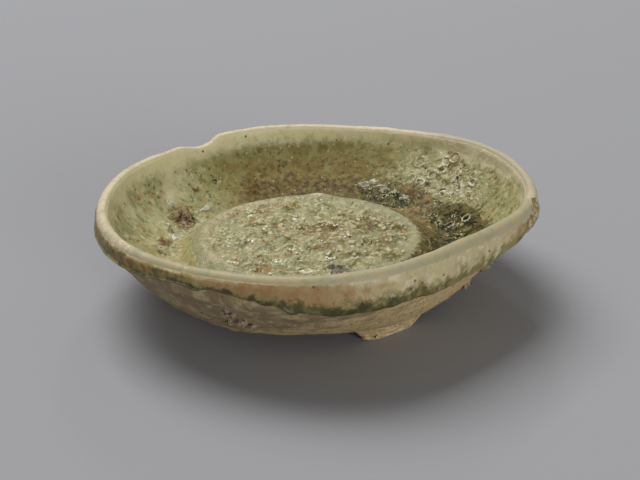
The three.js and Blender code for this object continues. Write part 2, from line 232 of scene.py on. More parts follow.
def unevenness(place, size, seed):
    """Smooth random heights from -1 to 1: random values on a cubic lattice of one cell size, blended
    between the eight corners round each point with soft steps."""
    cell = place / size + 17.3 * seed
    corner = np.floor(cell).astype(np.int64)
    share = soft_step(cell - corner, 0, 1)
    total = np.zeros(place.shape[:-1])
    for step in np.ndindex(2, 2, 2):
        code = stirred(((corner + step) * PRIMES).sum(-1) ^ (seed * 265443576))
        weight = np.where(step, share, 1 - share).prod(-1)
        total += weight * (((code ^ (code >> 15)) & 0xFFFF) / 32767.5 - 1)
    return total


def rough(place, size, seed):
    """Unevenness of one size and two finer layers on it, each half the size and height of the last."""
    return sum(unevenness(place, size / 2 ** i, seed + i) / 2 ** i for i in range(3))


def facing(place):
    """Unit normals of a grid of points whose columns join round, by the cross product of its slopes.
    They point out of the piece where the rows run up the outside."""
    across = np.roll(place, -1, axis=1) - np.roll(place, 1, axis=1)
    normal = np.cross(across, np.gradient(place, axis=0))
    return normal / (np.linalg.norm(normal, axis=-1, keepdims=True) + 1e-9)


def spots(place, marks):
    """Sum of soft round spots, each with its middle, its radius in mm and its strength."""
    return sum(by * np.exp(-((place - middle) ** 2).sum(-1) / size ** 2) for middle, size, by in marks)


def crest_waves(place):
    """Slow waves of the crest, the same for the clay and for the two glazes that meet on it."""
    return CREST_WAVE * bell(place[..., 2], CREST, CREST_WIDTH) * rough(place, 6, 9)


def grid_faces(rows, columns, loop=False):
    """Two triangles for each cell of a grid of points whose columns join round. The rows join where
    loop is true, and otherwise the first and the last row each close in one point."""
    number = np.arange(rows * columns).reshape(rows, columns)
    if loop:
        number = np.vstack([number, number[:1]])
    else:
        number[0], number[-1] = number[0, 0], number[-1, 0]
    number = np.hstack([number, number[:, :1]])
    a, b, c, d = number[:-1, :-1], number[:-1, 1:], number[1:, 1:], number[1:, :-1]
    return np.concatenate([np.stack(three, -1).reshape(-1, 3) for three in ((a, b, c), (a, c, d))])


def mesh_piece(name, face, marks, back=None):
    """A closed mesh from a grid of points in millimetres. Where it has a back, the rows of the back
    follow those of the face, wear no marks, and join the face's first row again."""
    bare = face[:0] if back is None else back
    points = np.vstack([face, bare])
    marks = {mark: np.vstack([np.broadcast_to(values, face.shape[:2]), np.zeros(bare.shape[:2])]).ravel()
             for mark, values in marks.items()}
    faces = grid_faces(*points.shape[:2], back is not None)
    return triangle_piece(name, points.reshape(-1, 3), faces, marks)


def triangle_piece(name, points, faces, marks):
    """A mesh object from points in millimetres and triangles. Empty triangles and unused points are
    dropped, and the faces are turned outwards by the sign of the volume."""
    faces = faces[(faces[:, 0] != faces[:, 1]) & (faces[:, 1] != faces[:, 2]) & (faces[:, 2] != faces[:, 0])]
    used, faces = np.unique(faces, return_inverse=True)
    faces = faces.reshape(-1, 3)
    points = points[used] * MM
    corners = points[faces]
    volume = (corners[:, 0] * np.cross(corners[:, 1], corners[:, 2])).sum()
    if volume < 0:
        faces = faces[:, ::-1]
    mesh = bpy.data.meshes.new(name)
    mesh.vertices.add(len(points))
    mesh.vertices.foreach_set("co", points.ravel())
    mesh.loops.add(faces.size)
    mesh.loops.foreach_set("vertex_index", faces.ravel().astype(np.int32))
    mesh.polygons.add(len(faces))
    mesh.polygons.foreach_set("loop_start", np.arange(0, faces.size, 3, dtype=np.int32))
    mesh.update(calc_edges=True)
    mesh.shade_smooth()
    for mark, values in marks.items():
        layer = mesh.attributes.new(mark, "FLOAT", "POINT")
        layer.data.foreach_set("value", values[used].astype(np.float32))
    piece = bpy.data.objects.new(name, mesh)
    bpy.context.scene.collection.objects.link(piece)
    return piece


def settle(piece, finish, slot, *nodes):
    """Gives a piece its finish and says which nodes it stands for. The slot is not used."""
    piece.data.materials.append(finish.material)
    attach(piece, "root")
    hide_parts(*nodes)


def wire(tree, source, target):
    """Joins an output to an input, or sets the input where the source is a plain value."""
    if isinstance(source, bpy.types.NodeSocket):
        tree.links.new(source, target)
    else:
        target.default_value = source


def node(tree, kind, inputs=(), **settings):
    """Adds a shader node with its settings, and wires or sets its inputs by name or number."""
    made = tree.nodes.new("ShaderNode" + kind)
    for label, value in settings.items():
        setattr(made, label, value)
    for label, value in dict(inputs).items():
        wire(tree, value, made.inputs[label])
    return made


def math(tree, operation, a, b):
    """Output of one sum of two values."""
    return node(tree, "Math", {0: a, 1: b}, operation=operation).outputs[0]


def ramp(tree, value, low, high, start=0.0, end=1.0):
    """Value carried smoothly from start at low to end at high."""
    inputs = {"Value": value, "From Min": low, "From Max": high, "To Min": start, "To Max": end}
    return node(tree, "MapRange", inputs, interpolation_type="SMOOTHSTEP").outputs["Result"]


def new_group(name, *values):
    """An empty shader group that takes a place, a shift and named values, and gives a mask. It comes
    with its inputs, the shifted place and the end for the mask."""
    group = bpy.data.node_groups.new(name, "ShaderNodeTree")
    for label in ("Place", "Shift", *values):
        kind = "NodeSocketFloat" if label in values else "NodeSocketVector"
        group.interface.new_socket(label, in_out="INPUT", socket_type=kind)
    group.interface.new_socket("Mask", in_out="OUTPUT", socket_type="NodeSocketFloat")
    given = group.nodes.new("NodeGroupInput").outputs
    moved = node(group, "VectorMath", {0: given["Place"], 1: given["Shift"]}).outputs[0]
    return group, given, moved, group.nodes.new("NodeGroupOutput").inputs["Mask"]


# Cloudy patches: a noise of one scale, hardened to a mask between a level less and plus a softness
patches, given, moved, result = new_group("cloudy_patches", "Scale", "Detail", "Level", "Soft")
cloud = node(patches, "TexNoise", {
    "Vector": moved, "Scale": given["Scale"], "Detail": given["Detail"], "Roughness": 0.6}).outputs[0]
lowest = math(patches, "SUBTRACT", given["Level"], given["Soft"])
highest = math(patches, "ADD", given["Level"], given["Soft"])
wire(patches, ramp(patches, cloud, lowest, highest), result)

# Round specks: one jittered dot in some of the cells of a random mosaic
specks, given, moved, result = new_group("round_specks", "Scale", "Radius", "Soft", "Share")
cell = node(specks, "TexVoronoi", {"Vector": moved, "Scale": given["Scale"]})
edge = math(specks, "ADD", given["Radius"], given["Soft"])
dot = ramp(specks, cell.outputs["Distance"], given["Radius"], edge, 1.0, 0.0)
lot = node(specks, "SeparateColor", {0: cell.outputs["Color"]}).outputs[0]
chosen = math(specks, "LESS_THAN", lot, given["Share"])
wire(specks, math(specks, "MULTIPLY", dot, chosen), result)


def fired(red, green, blue):
    """A colour given as the eye sees it, from 0 to 255, turned into the light it sends back."""
    share = np.array([red, green, blue]) / 255
    light = np.where(share <= 0.04045, share / 12.92, ((share + 0.055) / 1.055) ** 2.4)
    return (*light.tolist(), 1.0)


class Finish:
    """A fired surface: a ground colour, layers of colour that lie where all of their masks are, places
    that are more or less glossy, and a relief of clouds, each with its size and depth in millimetres.
    A mask is given as cloud, dots or the name of a mark on the mesh, and the numbers of that kind."""

    def __init__(self, name, ground, roughness, layers=(), gloss=(), relief=(), shine=0.5):
        self.material = bpy.data.materials.new(name)
        self.material.use_nodes = True
        self.tree = self.material.node_tree
        self.place = node(self.tree, "TexCoord").outputs["Object"]
        self.count = 0
        self.normal = None
        colour = fired(*ground)
        for over, *masks in layers:
            inputs = {0: self.both(masks), 6: colour, 7: fired(*over)}
            colour = node(self.tree, "Mix", inputs, data_type="RGBA").outputs[2]
        for over, *masks in gloss:
            inputs = {0: self.both(masks), 2: roughness, 3: over}
            roughness = node(self.tree, "Mix", inputs, data_type="FLOAT").outputs[0]
        for clouds in relief:
            self.raise_clouds(*clouds)
        looks = {"Specular IOR Level": shine, "Base Color": colour, "Roughness": roughness}
        if self.normal:
            looks["Normal"] = self.normal
        for label, value in looks.items():
            wire(self.tree, value, self.tree.nodes["Principled BSDF"].inputs[label])

    def texture(self, group, size, **values):
        """Mask of one of the two textures, with its own size in millimetres and its own place."""
        self.count += 1
        shift = (0.31 * self.count, 0.17 * self.count, 0.23 * self.count)
        inputs = {"Place": self.place, "Scale": 1 / (size * MM), "Shift": shift, **values}
        return node(self.tree, "Group", inputs, node_tree=group).outputs[0]

    def cloud(self, size, level, soft):
        """Mask of cloudy patches of a size, wherever their noise is over a level."""
        return self.texture(patches, size, Level=level, Soft=soft, Detail=3.0)

    def dots(self, size, share, radius, soft=0.1):
        """Mask of round specks in a share of the cells of a size, each with its radius in cells."""
        return self.texture(specks, size, Share=share, Radius=radius, Soft=soft)

    def mark(self, name, low, high, ragged=0, size=0):
        """Mask of a marked place on the mesh, its edge made ragged by a noise of a size."""
        value = node(self.tree, "Attribute", attribute_name=name).outputs["Fac"]
        if ragged:
            torn = self.texture(patches, size, Level=0.5, Soft=0.3, Detail=4.0)
            value = math(self.tree, "ADD", value, ramp(self.tree, torn, 0, 1, -ragged, ragged))
        return ramp(self.tree, value, low, high)

    def both(self, masks):
        """Product of masks, each given by its kind and numbers."""
        kinds = {"cloud": self.cloud, "dots": self.dots}
        made = [kinds[kind](*numbers) if kind in kinds else self.mark(kind, *numbers)
                for kind, *numbers in masks]
        product = made[0]
        for mask in made[1:]:
            product = math(self.tree, "MULTIPLY", product, mask)
        return product

    def raise_clouds(self, size, depth, soft=0.3):
        """Adds clouds of a size and a depth in millimetres to the relief."""
        inputs = {"Height": self.cloud(size, 0.5, soft), "Distance": depth * MM, "Strength": 1.0}
        if self.normal:
            inputs["Normal"] = self.normal
        self.normal = node(self.tree, "Bump", inputs).outputs[0]


# Pale cream of the rim, where glaze lies thin on bare clay. On the crest it also stands in for the highlight
# there: painted highlight.
CREAM = (212, 197, 166)

clay = Finish("grey_brown_stoneware", (142, 126, 94), 0.74, [
    ((124, 108, 79), ("cloud", 9, 0.5, 0.16)),
    ((164, 148, 114), ("cloud", 3.2, 0.56, 0.1)),
    # Pale orange flashing; at the front-right of the belly it is also painted light.
    ((190, 168, 122), ("flash", 0.15, 0.9, 0.35, 4)),
    ((130, 112, 83), ("cloud", 0.9, 0.6, 0.1)),
    ((176, 162, 132), ("dots", 1.3, 0.08, 0.22, 0.12)),
    ((92, 74, 54), ("dots", 1.9, 0.07, 0.14, 0.08)),
    # Cream and a pale cloud on the crest: partly thin glaze on bare clay, partly a painted highlight along
    # the crest.
    (CREAM, ("crest", 0.25, 0.75, 0.2, 1.2)),
    ((176, 158, 124), ("crest", 0.3, 0.8), ("cloud", 1.6, 0.56, 0.07)),
    ((60, 46, 36), ("pit", 0.4, 0.6)),
], gloss=[(0.42, ("crest", 0.3, 0.8))], relief=[(0.5, 0.03), (1.8, 0.07)], shine=0.3)

# The outline runs from the middle of the hollow under the base out and up the outside, over the rim
# and down the inside to the bed of the crust
outline = even(np.vstack([
    [(0, UNDERSIDE + RECESS_DEPTH), (RECESS_RADIUS, UNDERSIDE + RECESS_DEPTH),
     (RECESS_RADIUS + RECESS_FLARE, UNDERSIDE), (BASE_RADIUS, UNDERSIDE)],
    [(clay_radius(z), z) for z in np.linspace(UNDERSIDE, SHOULDER, 40)[1:]],
    [(clay_radius(z), z) for z in np.linspace(SHOULDER, CREST - RIM_ROUNDING, 16)[1:]],
    rim_arc(0, 180)[1:], wall_curve(CRUST_RADIUS, CLAY_SINK)[1:],
    [(CRUST_RADIUS, CRUST_SEAT - BED_GAP), (0, CRUST_SEAT - BED_GAP)]]), CLAY_ROW)
turns = full_turn(540)
radius, height = outline[:, :1], outline[:, 1:]
under = np.arange(len(outline))[:, None] <= outline[:, 1].argmax()
outer, inner = (kiln_warp(turns, radius, height, inside) for inside in (False, True))
place = np.where(under[..., None], outer, inner)
plain = round_place(turns, radius, height)
side = soft_step(radius, BASE_RADIUS - 2, BASE_RADIUS + 2)
belly = under * side * (1 - soft_step(height, CREST - 3, CREST))
base = under * (1 - side)
throwing = np.sin(height * THROWING_PITCH + turns / SPIRAL + 1.5 * unevenness(plain, 20, 3))
trimming = np.sin(radius * TRIMMING_PITCH + turns / SPIRAL) * soft_step(radius, 1, 3)
top = bell(height, CREST, CREST_WIDTH)
raised = belly * (0.3 * rough(plain, 16, 5) + 0.16 * rough(plain, 3.2, 6) + THROWING_HEIGHT * throwing)
raised += base * (TRIMMING_HEIGHT * trimming + 0.1 * rough(plain, 3, 8))
raised += crest_waves(plain) - 0.08 * top
pits = spots(plain, [(round_place(at, RIM_RADIUS - inward, CREST), size, by)
                     for at, inward, size, by in RIM_PITS])
place += facing(place) * (raised - pits)[..., None]
# Flashing low on the belly and at the front-right, where it is also painted light.
flash = belly * (bell(height, UNDERSIDE, PALE_RISE) + swell(PALE_BELLY, turns)) + base * 0.5
marks = {"crest": top, "flash": flash, "pit": pits}
settle(mesh_piece("clay_bowl_finish", place, marks), clay, "clay", "clay_bowl")

# Feet
# What is left of the trimmed foot ring once it is notched: three blocks of the same clay, flashed
# orange-brown, with a pale worn edge where they stand and cracks from drying above it.
# Their ground colour is flashed orange-brown and also painted lighter: painted light from the front-right.
FOOT_WIDTH = 9.6
FOOT_SPREAD = 46
FOOT_TAPER = 0.42
FOOT_INNER_SLOPE = 2.0
FOOT_OUTER_SLOPE = 1.5
FOOT_TURNS = {"foot_front_right": -55, "foot_back_right": 65, "foot_left": 185}
FOOT_ROOT = 0.8
FOOT_CORNER = 0.42
FOOT_ROWS = (14, 34)
CRACK_SIZE = 3.4
CRACK_WIDTH = 0.09
CRACK_DEPTH = 0.5
WORN_LIFT = 0.12

# Orange-brown flashing, its ground painted lighter as painted light from the front-right.
foot_clay = Finish("flashed_foot_clay", (198, 173, 130), 0.75, [
    ((178, 152, 108), ("cloud", 3.5, 0.5, 0.12)),
    ((214, 196, 156), ("cloud", 1.2, 0.58, 0.06)),
    ((204, 192, 158), ("worn", 0.35, 0.8, 0.35, 1.5)),
    ((52, 40, 28), ("crack", 0.35, 0.6, 0.15, 0.8)),
    ((96, 78, 56), ("dots", 1.1, 0.2, 0.18)),
], relief=[(0.6, 0.1), (1.9, 0.2)])

# A foot is a block with rounded corners that narrows towards the floor. Its rows run from the middle
# of its sole outwards, up its flank, and in again inside the clay.
for name, middle in FOOT_TURNS.items():
    across = np.linspace(0, 2 * np.pi, 180, endpoint=False)[None]
    side = [np.sign(f(across)) * np.abs(f(across)) ** FOOT_CORNER for f in (np.cos, np.sin)]
    upward = np.linspace(0, 1, FOOT_ROWS[1])
    rise = np.concatenate([np.zeros(FOOT_ROWS[0]), upward, np.ones(3)])[:, None]
    size = np.concatenate([np.linspace(0, 0.93, FOOT_ROWS[0]), 1 - 0.07 * (1 - upward * 6).clip(0) ** 2,
                           (0.99, 0.5, 0)])[:, None]
    low = 1 - rise
    turn = middle + side[0] * size * FOOT_SPREAD / 2 * (1 - FOOT_TAPER * low) * (1 + 0.3 * rise ** 5)
    inner = BASE_RADIUS - FOOT_WIDTH + FOOT_INNER_SLOPE * low - 0.8 * rise ** 5
    outer = BASE_RADIUS - FOOT_OUTER_SLOPE * low ** 2 + 1.6 * rise ** 4
    reach = mix(inner, outer, (1 + side[1] * size) / 2)
    height = rise * (UNDERSIDE + FOOT_ROOT)
    place = round_place(turn, reach, height)
    flank = soft_step(height, 0.05, 0.8) * (1 - soft_step(rise, 0.98, 1))
    split = unevenness(place * (1, 1, 2.2), CRACK_SIZE, middle % 50)
    crack = bell(split, 0, CRACK_WIDTH) * bell(height, 1.1, 0.9)
    push = flank * (0.35 * rough(place, 4.5, 21) - CRACK_DEPTH * crack)
    worn = (1 - soft_step(height, 0, 0.4)) * soft_step(size, 0.7, 0.9)
    lift = WORN_LIFT * worn * (1 + unevenness(place, 2.5, 22))
    place = place - facing(place) * push[..., None]
    place[..., 2] = np.maximum(place[..., 2], 0) + lift
    marks = {"worn": 1 - soft_step(height, 0.1, 1.2), "crack": crack}
    settle(mesh_piece(name + "_finish", place, marks), foot_clay, "foot_clay", name)

# Outer glaze band
# Ash glaze on the collar: cream where it is thin, tan and olive where more ash lay on it. It feathers
# out under the rim and ends below in a wavy, rolled edge of dark green glass with small drips.
BAND_REACH = 7.2
BAND_SHORT = 1.0
BAND_ROOT = 0.3
BAND_FACE = (0.6, 0.9)
BAND_ROLL = 0.45
BAND_ROWS = 35

# Where the roll is on the way down, and how wide. Then stretches of colour, waves of the lower edge and
# drips, each with its turn, width and size, and pits: turn, way below the crest, size and strength.
ROLL_PLACE = (0.9, 0.08)
BAND_STRETCHES = {
    "front": ((-95, 60, 1), (-34, 34, 0.7)),
    "right": ((20, 30, 1),),
    "inner": ((172, 54, 1), (95, 40, 0.45)),
    "tan": ((-98, 20, 1), (-22, 14, 0.5), (75, 22, 0.8)),
    "olive": ((-148, 26, 1.3), (-185, 22, 1), (120, 22, 0.8), (30, 14, 0.6)),
    "dark": ((-108, 30, 1), (-76, 14, 0.5), (110, 40, 0.8)),
    "thick": ((-108, 48, 1), (-174, 34, 1), (110, 30, 0.8)),
}
BAND_WAVES = ((-155, 16, -1), (-118, 20, -2.6), (-84, 9, 2), (-50, 26, 3), (-10, 13, -1.4),
              (40, 34, 1.4), (110, 25, -1), (160, 18, 1))
DRIPS = ((-131, 1.6, 0.5), (-117, 1.8, 0.8), (-101, 1.3, 0.5), (-95, 1.6, 0.9), (-72, 1.2, 0.4),
         (-20, 1.5, 0.6), (35, 1.6, 0.7), (80, 1.4, 0.6), (103, 1.8, 0.9), (170, 1.5, 0.7))
BAND_PITS = ((-88.7, 2.2, 0.55, 1), (-36, 4, 0.6, 0.9), (-26, 2.4, 0.5, 0.8), (-33, 1.8, 0.4, 0.6),
             (-121, 3.5, 0.8, 0.7), (-48, 4.6, 0.4, 0.5), (80, 3.4, 0.6, 0.8), (200, 3, 0.5, 0.8))
PIT_DEPTH = 0.35

band = Finish("cream_and_olive_band_glaze", (188, 176, 136), 0.46, [
    ((182, 168, 126), ("cloud", 5, 0.5, 0.14)),
    ((204, 194, 162), ("cloud", 2.6, 0.56, 0.08)),
    ((160, 134, 94), ("tan", 0.1, 0.7, 0.3, 4)),
    ((148, 116, 74), ("tan", 0.4, 1, 0.5, 2.5), ("cloud", 2.6, 0.5, 0.14)),
    ((146, 126, 80), ("olive", 0.1, 0.6, 0.35, 4)),
    ((100, 92, 54), ("olive", 0.4, 1, 0.6, 3), ("cloud", 3.2, 0.47, 0.12)),
    ((132, 96, 56), ("olive", 0.4, 0.9), ("cloud", 1.8, 0.58, 0.05)),
    ((134, 124, 80), ("low", 0.42, 0.84, 0.3, 3)),
    ((94, 88, 52), ("low", 0.58, 0.86, 0.22, 2), ("dark", 0.05, 0.6, 0.4, 3)),
    ((70, 67, 40), ("low", 0.58, 0.94, 0.3, 3), ("dark", 0.4, 1, 0.4, 2)),
    ((122, 92, 58), ("dots", 1.6, 0.12, 0.16, 0.12)),
    (CREAM, ("thin", 0.3, 0.9, 0.3, 1.5)),
    ((194, 178, 144), ("thin", 0.3, 0.9), ("cloud", 2.2, 0.56, 0.1)),
    ((168, 160, 128), ("thin", 0.2, 0.8), ("front", 0.3, 0.9, 0.3, 5)),
    ((178, 168, 142), ("thin", 0.1, 0.7), ("right", 0.1, 0.6)),
    ((198, 190, 148), ("inner", 0.15, 0.85, 0.25, 2)),
    ((176, 161, 123), ("thin", 0.2, 0.8), ("front", 0.3, 0.9), ("cloud", 3.4, 0.55, 0.07)),
    ((158, 154, 118), ("thin", 0.2, 0.8), ("front", 0.3, 0.9), ("cloud", 2.2, 0.6, 0.05)),
    ((74, 58, 40), ("pit", 0.35, 0.6, 0.2, 0.6)),
], gloss=[(0.3, ("low", 0.75, 0.92))], relief=[(0.9, 0.02), (2.8, 0.1)], shine=0.22)

# Over goes from 0 to 1 across the rim's rounding, and down from 0 to 1 on the collar below it
turns = full_turn(900)
stretch = {mark: swell(bumps, turns) for mark, bumps in BAND_STRETCHES.items()}
arc = rim_arc(150, 0)
over = np.linspace(0, 1, len(arc))[:, None]
down = np.append(0 * over, np.linspace(0, 1, BAND_ROWS + 1)[1:, None], axis=0)
over = np.append(over, np.ones((BAND_ROWS, 1)), axis=0)
lowest = CREST - BAND_REACH + BAND_SHORT - swell(BAND_WAVES, turns) - swell(DRIPS, turns)
lowest -= 0.35 * rough(round_place(turns, RIM_RADIUS, 0.0), 4, 51)
height = mix(CREST - RIM_ROUNDING, lowest, down)
height[:len(arc)] = arc[:, 1:]
radius = clay_radius(height)
radius[:len(arc)] = arc[:, :1]
place = kiln_warp(turns, radius, height, False)
plain = round_place(turns, radius, height)
out = -facing(place)
roll = BAND_ROLL * bell(down, *ROLL_PLACE) * (1 + 0.5 * unevenness(plain, 6, 52))
waves = (0.12 * rough(plain, 3.5, 53) + 0.12 * unevenness(plain, 11, 54)) * soft_step(down, 0, 0.3)
thick = mix(0.03, BAND_FACE[0], soft_step(over, 0.05, 1.1)) - 0.06 * (1 - soft_step(over, 0, 0.12))
thick = thick + roll + waves + crest_waves(plain)
thick += (BAND_FACE[1] - BAND_FACE[0]) * soft_step(down, 0, 0.25)
thick = mix(thick, -0.2, soft_step(down, 0.93, 1))
pits = spots(plain, [(round_place(at, RIM_RADIUS, CREST - under_crest), size, by)
                     for at, under_crest, size, by in BAND_PITS])
thick -= PIT_DEPTH * pits
under = np.where(over < 0.4, 0, CREST - height)
face = place + out * thick[..., None]
back = (place - out * BAND_ROOT)[[-1, -12, len(arc), 0]]
marks = {
    "low": down,
    "thin": 1 - soft_step(under / (2.8 - 1.5 * np.minimum(stretch["thick"], 1)), 0.4, 1.1),
    "front": stretch["front"],
    "right": stretch["right"],
    "inner": stretch["inner"] * (1 - soft_step(over, 0.14, 0.4)),
    "tan": stretch["tan"] * soft_step(down, -0.05, 0.14),
    "olive": stretch["olive"] * soft_step(down, -0.02, 0.25),
    "dark": stretch["dark"] + 0.1,
    "pit": pits,
}
settle(mesh_piece("outer_glaze_band_finish", face, marks, back), band, "band_glaze", "outer_glaze_band")

# Inner ash glaze
# Fly ash that melted to a glossy celadon green coat on the wall and in the trough. It thins out at
# the pale rim, runs down in streaks, and turns dark olive and brown where it gathers.
# At the top of the right wall the pale rim is partly painted light.
# On the lower back wall and in the trough behind the crust the dark is partly painted shade.
COAT = 0.8
GLAZE_ROW = 0.32
BACK_ROW = 3

# Rings in the trough: radius, width and power of a bell curve. Stretches of the wall: turn, width and
# strength. Pits and spots: turn, radius on the round cup, size and strength.
BROWN_RING = (40.4, 5)
DARK_RING = (36.9, 7.4, 4)
BOILED_RING = (37.5, 6, 4)
GLAZE_STRETCHES = {
    "foamy": ((38, 22, 1),),
    "boiled": ((16, 50, 1),),
    "coated": ((172, 44, 1),),
    # Side: paler top of the right wall, partly thin glaze and partly painted light.
    "side": ((24, 20, 1), (205, 22, 0.3)),
}
GLAZE_PITS = ((129, 46.7, 0.75, 1), (62, 50.5, 0.4, 0.5))
BROWN_SPOTS = ((154, 40.5, 3.2, 1), (160, 38.5, 2.2, 0.8), (138.5, 45.9, 1.2, 0.9), (113, 45, 3, 0.6),
               (16, 34.5, 3.2, 0.8), (118, 41.5, 2.5, 0.7), (50, 42, 2.5, 0.7), (176, 38.5, 2.2, 0.7),
               (178, 41, 2.6, 0.55), (185, 38.5, 2.6, 0.55), (166, 40.5, 2.2, 0.5), (149, 43, 3, 0.5))
GLASSY_SPOTS = ((3, 34, 4.5, 1), (-6, 33.5, 4.2, 1), (-15, 33.5, 4.2, 0.8))
# The broad pale spot at turn 144 is partly painted light that lightens the far left wall.
PALE_SPOTS = ((44, 51.4, 3.6, 1), (36, 52, 4, 0.8), (150, 46.7, 2.2, 0.8), (170, 37.8, 1.6, 0.8),
              (168, 43, 5, 0.4), (190, 47, 7, 0.3), (215, 48, 7, 0.3), (28, 52, 3, 0.7),
              (180, 42, 3, 0.4), (172, 50, 6, 0.6), (144, 49, 7, 0.65), (160, 46, 5, 0.35))

glaze = Finish("celadon_ash_glaze", (180, 174, 126), 0.32, [
    ((152, 154, 110), ("cloud", 4.5, 0.5, 0.14)),
    ((198, 188, 144), ("cloud", 2.4, 0.57, 0.08)),
    ((138, 140, 88), ("cloud", 1.9, 0.58, 0.07)),
    ((176, 150, 96), ("cloud", 2.6, 0.59, 0.06)),
    # Olive: the glaze's own colour, and on the lower back wall also painted shade.
    ((152, 145, 94), ("olive", 0.05, 0.95, 0.22, 4)),
    ((132, 122, 70), ("olive", 0.4, 1, 0.3, 3), ("cloud", 3, 0.5, 0.12)),
    # Deep: glaze gathered thick in the trough behind the crust, partly its own dark olive and brown, partly
    # painted shade of that recess.
    ((142, 124, 72), ("deep", 0.1, 0.8, 0.35, 3)),
    ((112, 94, 50), ("deep", 0.35, 1, 0.4, 1.8)),
    ((80, 67, 31), ("deep", 0.4, 0.9), ("cloud", 1.5, 0.54, 0.07)),
    ((132, 122, 68), ("deep", 0.3, 0.8), ("cloud", 2.3, 0.57, 0.06)),
    ((108, 96, 50), ("green", 0.15, 0.5, 0.35, 3)),
    ((66, 60, 30), ("green", 0.4, 0.8, 0.5, 1.8)),
    ((124, 102, 54), ("green", 0.3, 0.7), ("cloud", 2.4, 0.5, 0.12)),
    ((150, 122, 64), ("green", 0.3, 0.7), ("cloud", 3.1, 0.57, 0.06)),
    ((146, 134, 88), ("green", 0.2, 0.6), ("cloud", 1.1, 0.55, 0.08)),
    ((180, 174, 138), ("green", 0.2, 0.5), ("dots", 1.1, 0.2, 0.22, 0.14)),
    ((46, 46, 28), ("glassy", 0.3, 0.8, 0.65, 1.5)),
    ((96, 86, 48), ("glassy", 0.3, 0.8), ("cloud", 1.6, 0.55, 0.06)),
    ((160, 156, 128), ("glassy", 0.3, 0.7), ("dots", 1, 0.2, 0.2, 0.12)),
    ((104, 72, 32), ("rust", 0.3, 0.9, 0.45, 1.4)),
    ((210, 202, 160), ("pale", 0.15, 1, 0.22, 3)),
    ((208, 198, 152), ("dots", 0.9, 0.09, 0.18, 0.14)),
    ((122, 92, 44), ("dots", 1.7, 0.07, 0.16, 0.12)),
    ((24, 24, 18), ("pit", 0.35, 0.55)),
    (CREAM, ("edge", 0.3, 0.85, 0.25, 1.5)),
    # Near white at the top of the right wall: partly the glaze's pale rim, partly painted light that makes
    # up for the shade there.
    ((238, 228, 192), ("side", 0.15, 0.85, 0.25, 3)),
], gloss=[(0.6, ("green", 0.2, 0.6)), (0.6, ("deep", 0.15, 0.5))],
    relief=[(0.8, 0.06), (2.2, 0.16)], shine=0.22)

# Drop is the way from the crest down the inside, in millimetres
turns = full_turn(720)
stretch = {mark: swell(bumps, turns) for mark, bumps in GLAZE_STRETCHES.items()}
face = even(np.vstack([rim_arc(90, 180), wall_curve(CRUST_RADIUS - 0.6)[1:]]), GLAZE_ROW)
back = even(np.vstack([rim_arc(90, 180), wall_curve(CRUST_RADIUS - 0.6, COAT)[1:]]), BACK_ROW)[::-1]
drop = np.arange(len(face))[:, None] * GLAZE_ROW
radius, height = face[:, :1], face[:, 1:]
plain = round_place(turns, radius, height)
place = kiln_warp(turns, radius, height, True)
runs = rough(plain * (1, 1, 0.25), 3.2, 31)
gather = soft_step(drop, 0.8, 5.4)
thick = gather * (0.16 * runs + 0.10 * rough(plain, 1.3, 33) + 0.22 * unevenness(plain, 9, 35))
thick += 0.08 * soft_step(drop, 1, 2.5) + 0.05 - 0.12 * (1 - soft_step(drop, 0, 1.2))
foamy = stretch["foamy"] * soft_step(radius, 40, 46) * (1 - soft_step(radius, 50.5, 51.8))
thick += foamy * 0.35 * rough(plain, 1.6, 37)
boiled = stretch["boiled"] * bell(radius, *BOILED_RING)
thick += boiled * (0.22 * rough(plain, 1.5, 38) + 0.1)
thick = np.maximum(thick, -0.4) + crest_waves(plain)


def on_wall(turn, radius):
    """A point of the round inside, for a spot."""
    return round_place(turn, radius, inside_height(radius))


def wall_spots(place, marks):
    """Spots on the inside, each given by its turn, its radius on the round cup, its size and strength."""
    return spots(place, [(on_wall(turn, reach), size, by) for turn, reach, size, by in marks])


def between(turn, first, last, fade):
    """1 from the first turn to the last, fading out past both."""
    middle, half = (first + last) / 2, (last - first) / 2
    return 1 - soft_step(np.abs(around(turn, middle)), half - fade / 2, half + fade / 2)


pale_side = stretch["side"]
pits = wall_spots(plain, GLAZE_PITS)
thick -= 0.9 * pits
place = place + facing(place) * thick[..., None]
marks = {
    # On the lower back wall this olive is partly painted shade.
    "olive": (between(turns, 62, 132, 30) * soft_step(drop, 2, 7)
              + 0.4 * between(turns, -30, 22, 24) * soft_step(drop, 6, 10)
              + 0.35 * between(turns, 180, 240, 30) * soft_step(drop, 6, 11)),
    # Darkest in the trough behind the crust and low on the back wall: partly gathered glaze, partly painted
    # shade.
    "deep": (np.maximum(bell(radius, *BROWN_RING), 0.5 * soft_step(drop, 7.5, 11))
             * between(turns, 62, 124, 24)),
    "green": bell(radius, *DARK_RING) * between(turns, -36, 68, 16),
    "rust": wall_spots(plain, BROWN_SPOTS),
    "pale": wall_spots(plain, PALE_SPOTS) + 0.9 * (1 - soft_step(drop, 2, 7.5)),
    # Top of the right wall, partly painted light.
    "side": pale_side * (1 - soft_step(drop, 3, 6.4)) * soft_step(drop, 0.5, 2.2),
    "glassy": wall_spots(plain, GLASSY_SPOTS),
    "edge": 1 - soft_step(drop, 1.2 + 0.6 * pale_side - 0.8 * stretch["coated"],
                          2 + 1.8 * pale_side - 0.9 * stretch["coated"]),
    "pit": pits,
}
behind = kiln_warp(turns, back[:, :1], back[:, 1:], True)
settle(mesh_piece("inner_ash_glaze_finish", place, marks, behind), glaze, "ash_glaze", "inner_ash_glaze")

